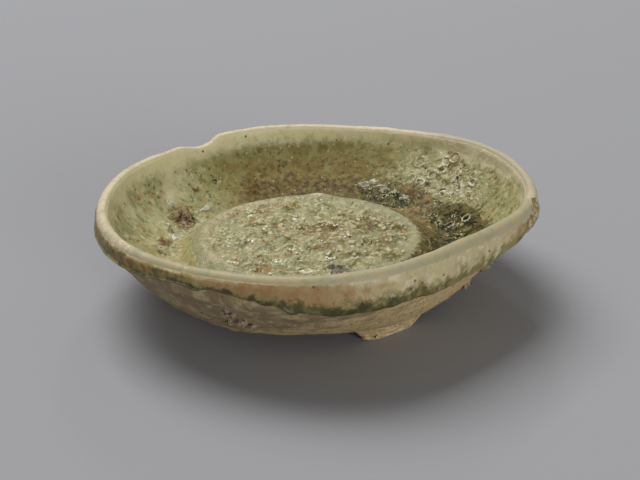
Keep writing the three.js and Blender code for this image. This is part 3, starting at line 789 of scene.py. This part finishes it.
# Floor crust
# A disc of half-melted ash on the middle of the floor: pebbly and crumbling, with a smooth raised
# edge, white and yellow crumbs in it, brown and olive streaks, and one pale mound at the back.
CRUST_FADE = 3
CRUST_ROOT = 0.5
CRUST_LIP = 0.8
MOUND = round_place(86, CRUST_SHOULDER + 2.4, CRUST_TOP)
MOUND_SIZE = 2.6
MOUND_HEIGHT = 0.9
SMUDGE = round_place(-72, 21.3, CRUST_TOP)
GRAIN_SIZE = 1.25
GRAIN_HEIGHT = 0.38
STONE_SIZE = 2.6
STONE_HEIGHT = 0.55
LUMP_COUNT = 44
LUMP_WIDE = 2.1
LUMP_TALL = 1.4
LUMP_BED = 0.85
LUMP_STRAY = 1.4
GOLDEN_TURN = 137.5

# Streaks: x, y, size and strength
STREAKS = ((1, 6.4, 3, 0.9), (4, 6.2, 2.4, 0.8), (2.3, -5.6, 2.6, 0.8), (16.7, 6.9, 3.4, 1),
           (17, -4, 3, 0.9), (21.3, -13, 3, 1), (-9.3, 8.4, 1.8, 0.9), (-16, 8.4, 1.2, 0.9),
           (-16.2, -20.6, 2.6, 0.8), (10.3, -11, 2.6, 0.6), (14, 13, 2.4, 0.8), (24, 5, 2.5, 0.8),
           (8, -19, 2, 0.6), (-6, -1, 1.6, 0.6))

crust = Finish("crumbly_ash_crust", (158, 153, 108), 0.34, [
    ((136, 138, 96), ("cloud", 4, 0.5, 0.12)),
    ((186, 175, 128), ("cloud", 1.9, 0.54, 0.08)),
    ((128, 122, 66), ("cloud", 2.6, 0.6, 0.06)),
    ((148, 112, 54), ("cloud", 5, 0.58, 0.06), ("cloud", 1.4, 0.5, 0.08)),
    ((120, 108, 50), ("streak", 0.3, 0.7, 0.5, 1.6)),
    ((98, 66, 28), ("streak", 0.5, 1, 0.6, 1.1), ("cloud", 1.2, 0.52, 0.08)),
    ((200, 191, 148), ("crumb", 0.35, 0.9)),
    ((202, 184, 128), ("crumb", 0.4, 0.9), ("cloud", 1.5, 0.58, 0.05)),
    ((154, 149, 108), ("edge", 0.3, 0.9, 0.3, 1.6)),
    ((184, 172, 130), ("ring", 0.3, 1.1, 0.6, 1.8)),
    ((128, 114, 68), ("brown", 0.2, 0.8, 0.5, 2)),
    ((86, 76, 42), ("brown", 0.5, 1.1, 0.7, 1.5)),
    # White dots: partly fine white grains, partly painted glints.
    ((224, 216, 186), ("dots", 0.9, 0.2, 0.16, 0.12)),
    ((208, 194, 158), ("mound", 0.2, 0.6, 0.2, 1)),
    ((100, 94, 80), ("smudge", 0.35, 0.75, 0.5, 1)),
], relief=[(0.7, 0.1), (1.6, 0.2, 0.2)], shine=0.35)


def pebbles(x, y, size, seed):
    """Distance to the nearest of jittered grains, one in each square cell, in cells, with that
    grain's own random number. Both come from hashing the nine cells round each point."""
    column, row = np.floor(x / size).astype(np.int64), np.floor(y / size).astype(np.int64)
    nearest, lot = np.full(x.shape, 9.0), np.zeros(x.shape)
    for step in np.ndindex(3, 3):
        i, j = column + step[0] - 1, row + step[1] - 1
        code = stirred((i * PRIMES[0] ^ j * PRIMES[1] ^ seed * PRIMES[2]) & BITS)
        away = np.hypot(i + (code & 0xFF) / 255 - x / size, j + (code >> 8 & 0xFF) / 255 - y / size)
        closer = away < nearest
        nearest = np.where(closer, away, nearest)
        lot = np.where(closer, (code >> 16 & 0xFF) / 255, lot)
    return nearest, lot


def lumps(plain):
    """The crust's main lumps: bell-shaped, on a spiral turned by the golden angle and strayed a little,
    each of its own height, in a bed that is sunk and fades out at the shoulder."""
    number = np.arange(LUMP_COUNT)
    reach = CRUST_SHOULDER * 0.9 * np.sqrt((number + 0.5) / LUMP_COUNT)
    angle = np.radians(number * GOLDEN_TURN)
    x = reach * np.cos(angle) + LUMP_STRAY * np.sin(number ** 2)
    y = reach * np.sin(angle) + LUMP_STRAY * np.cos(2 * number ** 2)
    tall = LUMP_TALL * (1 - 0.35 * np.sin(5 * number) ** 2)
    away = (plain[..., :1] - x) ** 2 + (plain[..., 1:2] - y) ** 2
    radius = np.hypot(plain[..., 0], plain[..., 1])
    inward = 1 - soft_step(radius, CRUST_SHOULDER - CRUST_FADE, CRUST_SHOULDER)
    return inward * ((tall * np.exp(-away / LUMP_WIDE ** 2)).sum(-1) - LUMP_BED)


def crust_relief(plain):
    """Height of the crust over its smooth disc: the main lumps, two sizes of half-sunk crumbs in
    patches on them, and the mound on the back edge. Gives also how far inward a point is, and how
    much it is of the mound and of a crumb."""
    x, y = plain[..., 0] + 0.5 * unevenness(plain, 2.5, 41), plain[..., 1]
    small, small_lot = pebbles(x, y, GRAIN_SIZE, 43)
    large, large_lot = pebbles(x, y, STONE_SIZE, 44)
    radius = np.hypot(plain[..., 0], plain[..., 1])
    fade = CRUST_SHOULDER - CRUST_FADE + 1.5 * unevenness(plain, 6, 45)
    inward = 1 - soft_step(radius, fade, CRUST_SHOULDER + 0.6)
    heaped = soft_step(unevenness(plain, 5, 48), -0.6, 0.3)
    grains = (small_lot > 0.4) * np.clip(1 - (small / 0.58) ** 2, 0, 1) * small_lot * heaped
    stones = (large_lot > 0.72) * np.clip(1 - (large / 0.45) ** 2, 0, 1)
    mound = spots(plain * (0.8, 1, 1), [(MOUND * (0.8, 1, 1), MOUND_SIZE, 1)])
    raised = inward * (GRAIN_HEIGHT * grains + STONE_HEIGHT * stones + 0.2 * rough(plain, 2.4, 46) - 0.1)
    raised = raised + lumps(plain) + (1 - inward) * 0.12 * rough(plain, 3, 47)
    height = raised * (1 - 0.7 * mound) + MOUND_HEIGHT * mound
    return height, inward, mound, inward * np.maximum(grains, stones)


# The rows run from the middle of the disc out to its edge, turn down over a lip, and run in below
turns = full_turn(640)
top_radius = np.append(np.linspace(0, CRUST_RADIUS + 0.4, 108), CRUST_RADIUS + 0.5)
radius = np.append(top_radius, (CRUST_RADIUS - 0.5, 20, 0))[:, None]
height = np.append(inside_height(top_radius), np.full(3, CRUST_SEAT - CRUST_ROOT))[:, None]
height[len(top_radius) - 1] -= CRUST_LIP
place = kiln_warp(turns, radius, height, True)
plain = round_place(turns, radius, height)
raised, inward, mound, crumb = crust_relief(plain)
upper = (np.arange(len(radius)) < len(top_radius))[:, None]
rim_fade = 1 - soft_step(radius, CRUST_RADIUS - 0.5, CRUST_RADIUS + 0.4)
place[..., 2] += np.where(upper, raised, 0) * rim_fade
streaks = [(np.array([x * 0.6, y, CRUST_TOP]), size, by) for x, y, size, by in STREAKS]
ring = bell(radius + 0.6, CRUST_SHOULDER, 1.6)
marks = {
    "edge": 1 - inward,
    "crumb": crumb,
    "ring": ring * (between(turns, 100, 245, 50) + 0.6 * between(turns, -12, 20, 20)),
    "brown": soft_step(radius, CRUST_SHOULDER - 0.5, CRUST_SHOULDER + 1.8) * between(turns, -50, 48, 30),
    "mound": mound,
    "smudge": spots(plain, [(SMUDGE, 2.6, 1)]),
    "streak": spots(plain * (0.6, 1, 1), streaks),
}
settle(mesh_piece("floor_ash_crust_finish", place, marks), crust, "ash_crust", "floor_ash_crust")

# Crumbs on the crust
# Grains of ash that never melted right through, white, straw and grey-green, stuck all over the disc
# where the fly ash fell thickest. Each is a small uneven ball, turned and stretched by chance.
# The white ones are partly real grains and partly painted glints on the crust.
CRUMB_COUNT = 560
CRUMB_SIZE = (0.15, 0.45)
HEAP_COUNT = 8
HEAP_CRUMB_SIZE = (0.3, 0.65)

# Heaps: x, y and spread
# The heap at x -3, y 12.3 lies where the crust glints; its white crumbs are a painted highlight.
CRUMB_HEAPS = ((0.9, -21, 0.9), (-0.6, -21, 0.7), (-3.8, -8.9, 1.1), (-16.4, 13.7, 0.6), (-11.2, 4.4, 0.8),
               (-3, 12.3, 1), (-18.5, -16.6, 0.7), (6, 8, 0.9), (10, 2, 0.8), (-15, -3, 0.7), (4, -13, 0.8),
               (-8, -15, 0.7))

crumb_finish = Finish("half_melted_crumbs", (196, 188, 142), 0.2, [
    # White crumbs, near white: partly real grains, partly painted glints.
    ((238, 232, 208), ("white", 0.4, 0.6)),
    ((220, 202, 136), ("straw", 0.4, 0.6)),
    ((120, 92, 46), ("burnt", 0.4, 0.6)),
    ((172, 168, 122), ("cloud", 0.5, 0.6, 0.08)),
], relief=[(0.4, 0.06)])

chance = np.random.default_rng(11)
ball_turn, ball_rise = np.meshgrid(np.arange(8) * 45, np.linspace(-90, 90, 7))
ball = round_place(ball_turn, np.cos(np.radians(ball_rise)), np.sin(np.radians(ball_rise)))


def scattered(name, middles, sizes, marks):
    """One mesh of many small uneven balls, each with its middle, its three half-lengths and a random
    turn about the upright. Every ball has the same few faces."""
    spin = chance.uniform(0, 2 * np.pi, len(middles))
    flat = ball.reshape(-1, 3)
    lumpy = 1 + 0.3 * unevenness(flat[None] + np.arange(len(middles))[:, None, None] * 3.7, 0.9, 61)
    local = flat[None] * sizes[:, None] * lumpy[..., None]
    x = local[..., 0] * np.cos(spin)[:, None] - local[..., 1] * np.sin(spin)[:, None]
    y = local[..., 0] * np.sin(spin)[:, None] + local[..., 1] * np.cos(spin)[:, None]
    points = np.stack([x, y, local[..., 2]], -1) + middles[:, None]
    faces = grid_faces(*ball.shape[:2])[None] + (np.arange(len(middles)) * len(flat))[:, None, None]
    spread = {mark: np.repeat(values, len(flat)) for mark, values in marks.items()}
    return triangle_piece(name, points.reshape(-1, 3), faces.reshape(-1, 3), spread)


# Most crumbs lie anywhere on the disc and are small. The first of them are moved to the heaps.
spread = (CRUST_SHOULDER - 1.5) * np.sqrt(chance.uniform(0, 1, CRUMB_COUNT))
angle = chance.uniform(0, 2 * np.pi, CRUMB_COUNT)
x, y = spread * np.cos(angle), spread * np.sin(angle)
size = mix(*CRUMB_SIZE, chance.uniform(0, 1, CRUMB_COUNT) ** 2.5)
heaped = np.arange(CRUMB_COUNT) < HEAP_COUNT * len(CRUMB_HEAPS)
for number, (middle_x, middle_y, wide) in enumerate(CRUMB_HEAPS):
    heap = slice(HEAP_COUNT * number, HEAP_COUNT * (number + 1))
    x[heap], y[heap] = (chance.normal(at, wide, HEAP_COUNT) for at in (middle_x, middle_y))
    size[heap] = chance.uniform(*HEAP_CRUMB_SIZE, HEAP_COUNT)
turn, radius = np.degrees(np.arctan2(y, x)), np.hypot(x, y)
size = size[:, None] * chance.uniform((0.8, 0.7, 0.5), (1.3, 1.1, 0.9), (CRUMB_COUNT, 3))
middle = kiln_warp(turn, radius, inside_height(radius), True)
middle[:, 2] += crust_relief(round_place(turn, radius, inside_height(radius)))[0] + 0.1 * size[:, 2]
lot = chance.uniform(0, 1, CRUMB_COUNT)
# White crumbs: all in the heaps and a third of the rest, partly painted glints.
white, burnt = heaped | (lot < 0.35), ~heaped & (lot > 0.95)
marks = {"white": 1.0 * white, "straw": 1.0 * (~white & (lot < 0.65)), "burnt": 1.0 * burnt}
settle(scattered("crust_crumbs_finish", middle, size, marks), crumb_finish, "ash_crust", "floor_ash_crust")

# Glass pools and wall foam
# Where the ash lay deepest it melted to thick dark green glass that ran into the trough and stayed
# there in two pools. On the wall above them it boiled, and its burst bubbles froze as pale rings.
PATCH_ROOT = 0.6

# Large bubbles: turn, radius on the round cup, size and height
RIGHT_BUBBLES = ((25, 37, 0.95, 0.55), (19.5, 38.4, 1.2, 0.14), (35, 38.1, 0.7, 0.2), (16.5, 42, 1.1, 0.25),
                 (22.5, 40.6, 0.5, 0.3), (33, 34.9, 0.8, 0.3), (8, 38, 1.1, 0.14))
# The bubble at turn 46 sits where the back pool glints; its pale froth ring is partly a painted highlight.
BACK_BUBBLES = ((70, 41.4, 0.6, 0.3), (67, 42.2, 0.5, 0.35), (64, 41.2, 0.7, 0.2), (52, 39.8, 0.7, 0.3),
                (49, 39.6, 0.5, 0.35), (46, 41.4, 0.5, 0.4), (57, 41.2, 0.7, 0.15), (60, 39.4, 0.6, 0.2))
FOAM_BUBBLES = ((40.5, 50.9, 1.25, 0.5), (43, 50.1, 1.2, 0.5), (43.5, 48.4, 1.1, 0.45), (46, 47.2, 1.2, 0.4),
                (53, 49.2, 1.5, 0.35), (36.2, 47.2, 0.35, 0.5), (35.6, 48, 0.4, 0.5),
                (35.1, 48.8, 0.35, 0.5), (30, 49.6, 0.8, 0.35), (53.5, 45.4, 1.3, 0.35), (37, 44, 0.9, 0.2),
                (49, 45, 1.1, 0.2), (32, 46.5, 0.9, 0.2), (28, 48.4, 0.9, 0.25))

glass = Finish("dark_green_natural_glass", (80, 76, 40), 0.32, [
    ((30, 34, 12), ("cloud", 2.2, 0.47, 0.1)),
    ((118, 108, 58), ("cloud", 2.4, 0.56, 0.06)),
    ((92, 76, 42), ("cloud", 2.6, 0.57, 0.05)),
    ((186, 180, 146), ("dots", 0.9, 0.14, 0.18, 0.12)),
    ((150, 142, 102), ("froth", 0.35, 0.8, 0.6, 1)),
    ((214, 210, 188), ("froth", 0.65, 1.1, 0.7, 0.7)),
    ((24, 22, 14), ("hollow", 0.3, 0.8)),
    ((104, 94, 56), ("rim", 0.75, 1, 0.35, 1.5)),
], relief=[(0.9, 0.05)], shine=0.06)

foam = Finish("burst_pale_foam_glaze", (168, 161, 119), 0.3, [
    ((140, 132, 80), ("cloud", 2.2, 0.5, 0.08)),
    ((200, 194, 154), ("cloud", 1.6, 0.54, 0.06)),
    ((232, 228, 208), ("dots", 1, 0.22, 0.2, 0.14)),
    ((138, 104, 54), ("cloud", 2.1, 0.61, 0.05)),
    ((96, 88, 44), ("cloud", 2.6, 0.61, 0.05)),
    ((214, 206, 172), ("froth", 0.4, 0.9, 0.7, 1.2)),
    ((236, 232, 214), ("froth", 0.75, 1.15, 0.7, 0.8)),
    ((118, 100, 54), ("hollow", 0.4, 0.9, 0.4, 1)),
    ((168, 162, 116), ("rim", 0.45, 0.95, 0.5, 2)),
], relief=[(0.6, 0.05), (1.3, 0.11)], shine=0.25)


def inner_surface(turn, radius):
    """The inside of the cup at a turn and a radius, bent."""
    return kiln_warp(turn, radius, inside_height(radius), True)


def outer_surface(turn, height):
    """The outside of the clay at a turn and a height, bent."""
    return kiln_warp(turn, clay_radius(height), height, False)


INSIDE = (inner_surface, -1)
OUTSIDE = (outer_surface, 1)


def off(carrier, turn, reach, away):
    """Points at a distance off a surface, to its open side, along the cross product of its slopes."""
    surface, side = carrier
    here = surface(turn, reach)
    normal = np.cross(surface(turn + 0.5, reach) - here, surface(turn, reach + 0.1) - here)
    normal *= side / np.linalg.norm(normal, axis=-1, keepdims=True)
    return here + normal * away[..., None]


def patch_grid(oval, ragged, seed, rows, columns):
    """A patch laid out from its middle: rings that grow to a ragged oval, wide in degrees and long in
    mm, and close again underneath. Gives turn, reach, share of the way out, and which rows are on top."""
    turn, reach, wide, long = oval
    spin = np.linspace(0, 2 * np.pi, columns, endpoint=False)[None]
    share = np.append(np.linspace(0, 1, rows), (0.93, 0.5, 0))[:, None]
    circle = np.stack([np.cos(spin), np.sin(spin), 0 * spin], -1) * 2.5
    reached = share * (1 + ragged * rough(circle, 1.6, seed))
    top = (np.arange(len(share)) < rows)[:, None]
    return turn + reached * np.cos(spin) * wide, reach + reached * np.sin(spin) * long, share, top


def blown(plain, bubbles):
    """Relief of burst bubbles: a raised ring round a hollow, each with its middle, radius and height.
    Gives the height, how frothy a point is, and how deep in a hollow."""
    height, froth, hollow = (np.zeros(plain.shape[:-1]) for _ in range(3))
    plain = plain + 0.35 * np.stack([unevenness(plain, 1.4, seed) for seed in (63, 64, 65)], axis=-1)
    for middle, size, tall in bubbles:
        away = np.linalg.norm(plain - middle, axis=-1)
        ring = bell(away, size, 0.2 * size + 0.05 + 0.35 * tall)
        inside = np.clip(1 - (away / size) ** 2, 0, 1)
        height += tall * (ring - 0.7 * inside)
        froth = np.maximum(froth, ring * min(1, tall / 0.25))
        hollow = np.maximum(hollow, inside)
    return height, froth, hollow


def glass_patch(name, oval, tall, bubbles, finish, slot, seed, wild=0.2, rows=60, columns=320):
    """A patch of glass on the inner glaze: domed in the middle, dipping under the glaze at its ragged
    border, uneven by wild, and pocked with bubbles."""
    turn, reach, share, top = patch_grid(oval, 0.2, seed, rows, columns)
    plain = on_wall(turn, reach)
    relief, froth, hollow = blown(plain, bubbles)
    swollen = tall * np.sqrt(np.clip(1 - share ** 2, 0, 1))
    swollen = swollen + wild * rough(plain, 2.6, seed + 1) * (1 - share ** 4)
    away = np.where(top, swollen + relief * (1 - share ** 6) - 0.3 * share ** 8, -PATCH_ROOT)
    marks = {"froth": froth, "hollow": hollow, "rim": share}
    settle(mesh_piece(name + "_finish", off(INSIDE, turn, reach, away), marks), finish, slot, name)


def strewn(placed, count, oval, sizes, tall):
    """Bubbles with places of their own, and more of them strewn by chance over an oval."""
    turn, reach, wide, long = oval
    spin, share = chance.uniform(0, 2 * np.pi, count), np.sqrt(chance.uniform(0, 1, count)) * 0.95
    middles = on_wall(turn + share * np.cos(spin) * wide, reach + share * np.sin(spin) * long)
    more = zip(middles, mix(*sizes, chance.uniform(0, 1, count) ** 2), chance.uniform(0.3, 1, count) * tall)
    return [(on_wall(at, out), size, by) for at, out, size, by in placed] + list(more)


glass_patch("glass_pool_right", (13, 38.4, 22, 6.7), 0.7,
            strewn(RIGHT_BUBBLES, 26, (15, 38.4, 18, 4.8), (0.15, 0.45), 0.3), glass, "green_glass", 70)
glass_patch("glass_pool_back", (58, 39.4, 15, 3.3), 0.65,
            strewn(BACK_BUBBLES, 34, (58, 39.4, 14, 3.5), (0.15, 0.5), 0.3), glass, "green_glass", 74)
glass_patch("foam_glass_wall", (38, 46.8, 21, 5.2), 0.35,
            strewn(FOAM_BUBBLES, 44, (38, 46.4, 20, 4.8), (0.25, 0.7), 0.22), foam, "foam_glass", 78,
            wild=0.3, rows=80, columns=420)

# Slag and beads
# In the trough at the left a rough brown clot of slag sticks to the glaze, with white glassy beads
# beside it. On the outside of the rim at the right another crust of ash runs over the band.
CLOT_GRID = (30, 120)
CLOT_ROOT = 0.5

# Beads and froth: turn, radius on the round cup, half-width in degrees, half-length and height in mm
# The third bead, at turn 170, lies where the glaze glints; its white is partly a painted highlight.
BEADS = ((141, 40, 3.6, 1.1, 0.8), (163, 41.6, 1, 0.6, 0.4), (170, 38.4, 3, 1.6, 0.6),
         (152, 45.8, 1.8, 0.9, 0.3), (147, 38.6, 1.2, 0.5, 0.4), (158, 43.4, 0.9, 0.5, 0.4))
# The last froth bead, at turn 45.5, is a white blob where the back pool glints: painted highlight.
POOL_FROTH = ((70.5, 42, 2.8, 0.9, 0.9), (67, 43.2, 2.2, 0.7, 0.6), (62.5, 41.6, 3.8, 1.1, 1.05),
              (57, 40.9, 2.4, 0.8, 1), (51, 40.2, 2.4, 0.8, 1), (48, 39.2, 1.8, 0.6, 0.9),
              (45.5, 41.6, 1.2, 0.5, 0.8))

slag = Finish("brown_ash_slag", (124, 90, 44), 0.34, [
    ((62, 48, 24), ("cloud", 1.5, 0.5, 0.08)),
    ((158, 130, 80), ("cloud", 1.3, 0.56, 0.06)),
    ((150, 136, 82), ("rim", 0.45, 0.95, 0.5, 1.2)),
    ((206, 196, 160), ("dots", 1.2, 0.2, 0.22, 0.1)),
], relief=[(0.5, 0.2)])
bead = Finish("white_glassy_bead", (212, 210, 190), 0.12, [
    ((174, 168, 130), ("cloud", 0.8, 0.52, 0.1)),
], relief=[(0.6, 0.08)])
rim_slag = Finish("tan_rim_slag", (170, 154, 114), 0.4, [
    ((146, 120, 74), ("cloud", 1.6, 0.5, 0.08)),
    ((196, 186, 154), ("cloud", 1.2, 0.56, 0.05)),
    ((128, 112, 66), ("rim", 0.7, 1, 0.4, 1.5)),
], relief=[(0.5, 0.2)])


def clot(name, carrier, oval, tall, looks, node_name, seed, wild, ragged):
    """A rough lump stuck on a surface: a dome, broken up by coarse and fine unevenness. Its looks are
    its finish and its slot."""
    turn, reach, share, top = patch_grid(oval, ragged, seed, *CLOT_GRID)
    here = carrier[0](turn, reach)
    dome = np.sqrt(np.clip(1 - share ** 2, 0, 1))
    away = np.where(top, tall * dome * (1 + wild * rough(here, 1.3, seed + 1)) - 0.35 * share ** 4,
                    -CLOT_ROOT)
    settle(mesh_piece(name, off(carrier, turn, reach, away), {"rim": share}), *looks, node_name)


def band_surface(turn, height):
    """The face of the band, as far off the clay as its glaze is thick."""
    return off(OUTSIDE, turn, height, np.full(np.shape(turn), BAND_FACE[1]))


clot("trough_slag_left_finish", INSIDE, (154, 40.2, 6, 3.4), 0.7, (slag, "slag"), "trough_slag_left", 81,
     1.1, 0.5)
for number, (*oval, tall) in enumerate(BEADS, 1):
    clot(f"glassy_bead_{number}", INSIDE, oval, tall, (bead, "foam_glass"), "trough_slag_left", 84 + number,
         0.4, 0.25)
for number, (*oval, tall) in enumerate(POOL_FROTH, 1):
    clot(f"pool_froth_{number}", INSIDE, oval, tall, (bead, "foam_glass"), "glass_pool_back", 120 + number,
         0.8, 0.6)
clot("rim_slag_right_finish", (band_surface, 1), (-16.5, CREST - 4.2, 6.5, 3.6), 0.55, (rim_slag, "slag"),
     "rim_slag_right", 95, 0.9, 0.4)

# Kiln grit
# Bits of pale grit from the kiln shelf and wall, caught by the clay while it was soft. They sit half
# sunk in the belly, singly and in one small cluster at the front.

# Bits of grit: turn, height over the underside, half-width in degrees, half-length and height in mm
GRIT = {"kiln_grit_front_1": (-112, 12.6, 1.9, 0.9, 0.8), "kiln_grit_front_2": (-109, 10.6, 1.6, 0.8, 0.7),
        "kiln_grit_front_3": (-107, 8.9, 1.5, 0.8, 0.7), "kiln_grit_front_4": (-113, 9.9, 1.2, 0.6, 0.5),
        "kiln_grit_right_1": (-29.5, 5.6, 2.8, 1.1, 1.2), "kiln_grit_right_2": (-23.5, 8.2, 3.4, 1.2, 1.2),
        "kiln_grit_left": (-156, 12.2, 2.4, 0.7, 0.8)}

grit = Finish("pale_kiln_grit", (150, 136, 114), 0.7, [
    ((132, 110, 86), ("cloud", 0.9, 0.5, 0.1)),
    ((60, 46, 36), ("cloud", 1, 0.57, 0.05)),
], relief=[(0.5, 0.15)])
for number, (name, (turn, up, wide, long, tall)) in enumerate(GRIT.items()):
    clot(name + "_finish", OUTSIDE, (turn, UNDERSIDE + up, wide, long), tall, (grit, "grit"), name,
         100 + number, 0.9, 0.35)

# Studio
# A plain pale floor, one broad soft lamp above and behind, weak fills and an even sky. The camera has
# the place, the pitch and the lens that were fitted to the photograph.
FLOOR_SIZE = 6

# Lamps: place, side and power
LAMPS = {"window": ((-1.15, 1.3, 3.4), 2.4, 130), "fill": ((1.7, -2.8, 0.62), 1.2, 51),
         "glint": ((0.1, 1.9, 1.3), 0.22, 4)}
LAMP_AIM = (0, 0, 0.015)
SKY_STRENGTH = 0.22
CAMERA_PITCH = 23.2
CAMERA_PLACE = (0.001, -0.2244, 0.1094)
CAMERA_LENS = 53.5

floor_finish = Finish("pale_floor", (158, 158, 161), 0.95, shine=0)
bpy.ops.mesh.primitive_plane_add(size=FLOOR_SIZE)
floor = bpy.context.object
floor.name = "floor"
floor.data.materials.append(floor_finish.material)

for name, (place, size, power) in LAMPS.items():
    light = bpy.data.lights.new(name, "AREA")
    light.size, light.energy = size, power
    lamp = bpy.data.objects.new(name, light)
    bpy.context.scene.collection.objects.link(lamp)
    lamp.location = place
    lamp.rotation_euler = (Vector(LAMP_AIM) - Vector(place)).to_track_quat("-Z", "Y").to_euler()
world = bpy.context.scene.world or bpy.data.worlds.new("sky")
bpy.context.scene.world = world
world.use_nodes = True
world.node_tree.nodes["Background"].inputs["Color"].default_value = (1, 1, 1, 1)
world.node_tree.nodes["Background"].inputs["Strength"].default_value = SKY_STRENGTH

camera = bpy.data.objects.new("camera", bpy.data.cameras.new("camera"))
bpy.context.scene.collection.objects.link(camera)
camera.data.sensor_width = 36
camera.data.lens = CAMERA_LENS
camera.data.clip_start = 0.01
camera.location = CAMERA_PLACE
camera.rotation_euler = (np.radians(90 - CAMERA_PITCH), 0, 0)
bpy.context.scene.camera = camera
bpy.context.scene.view_settings.view_transform = "Standard"
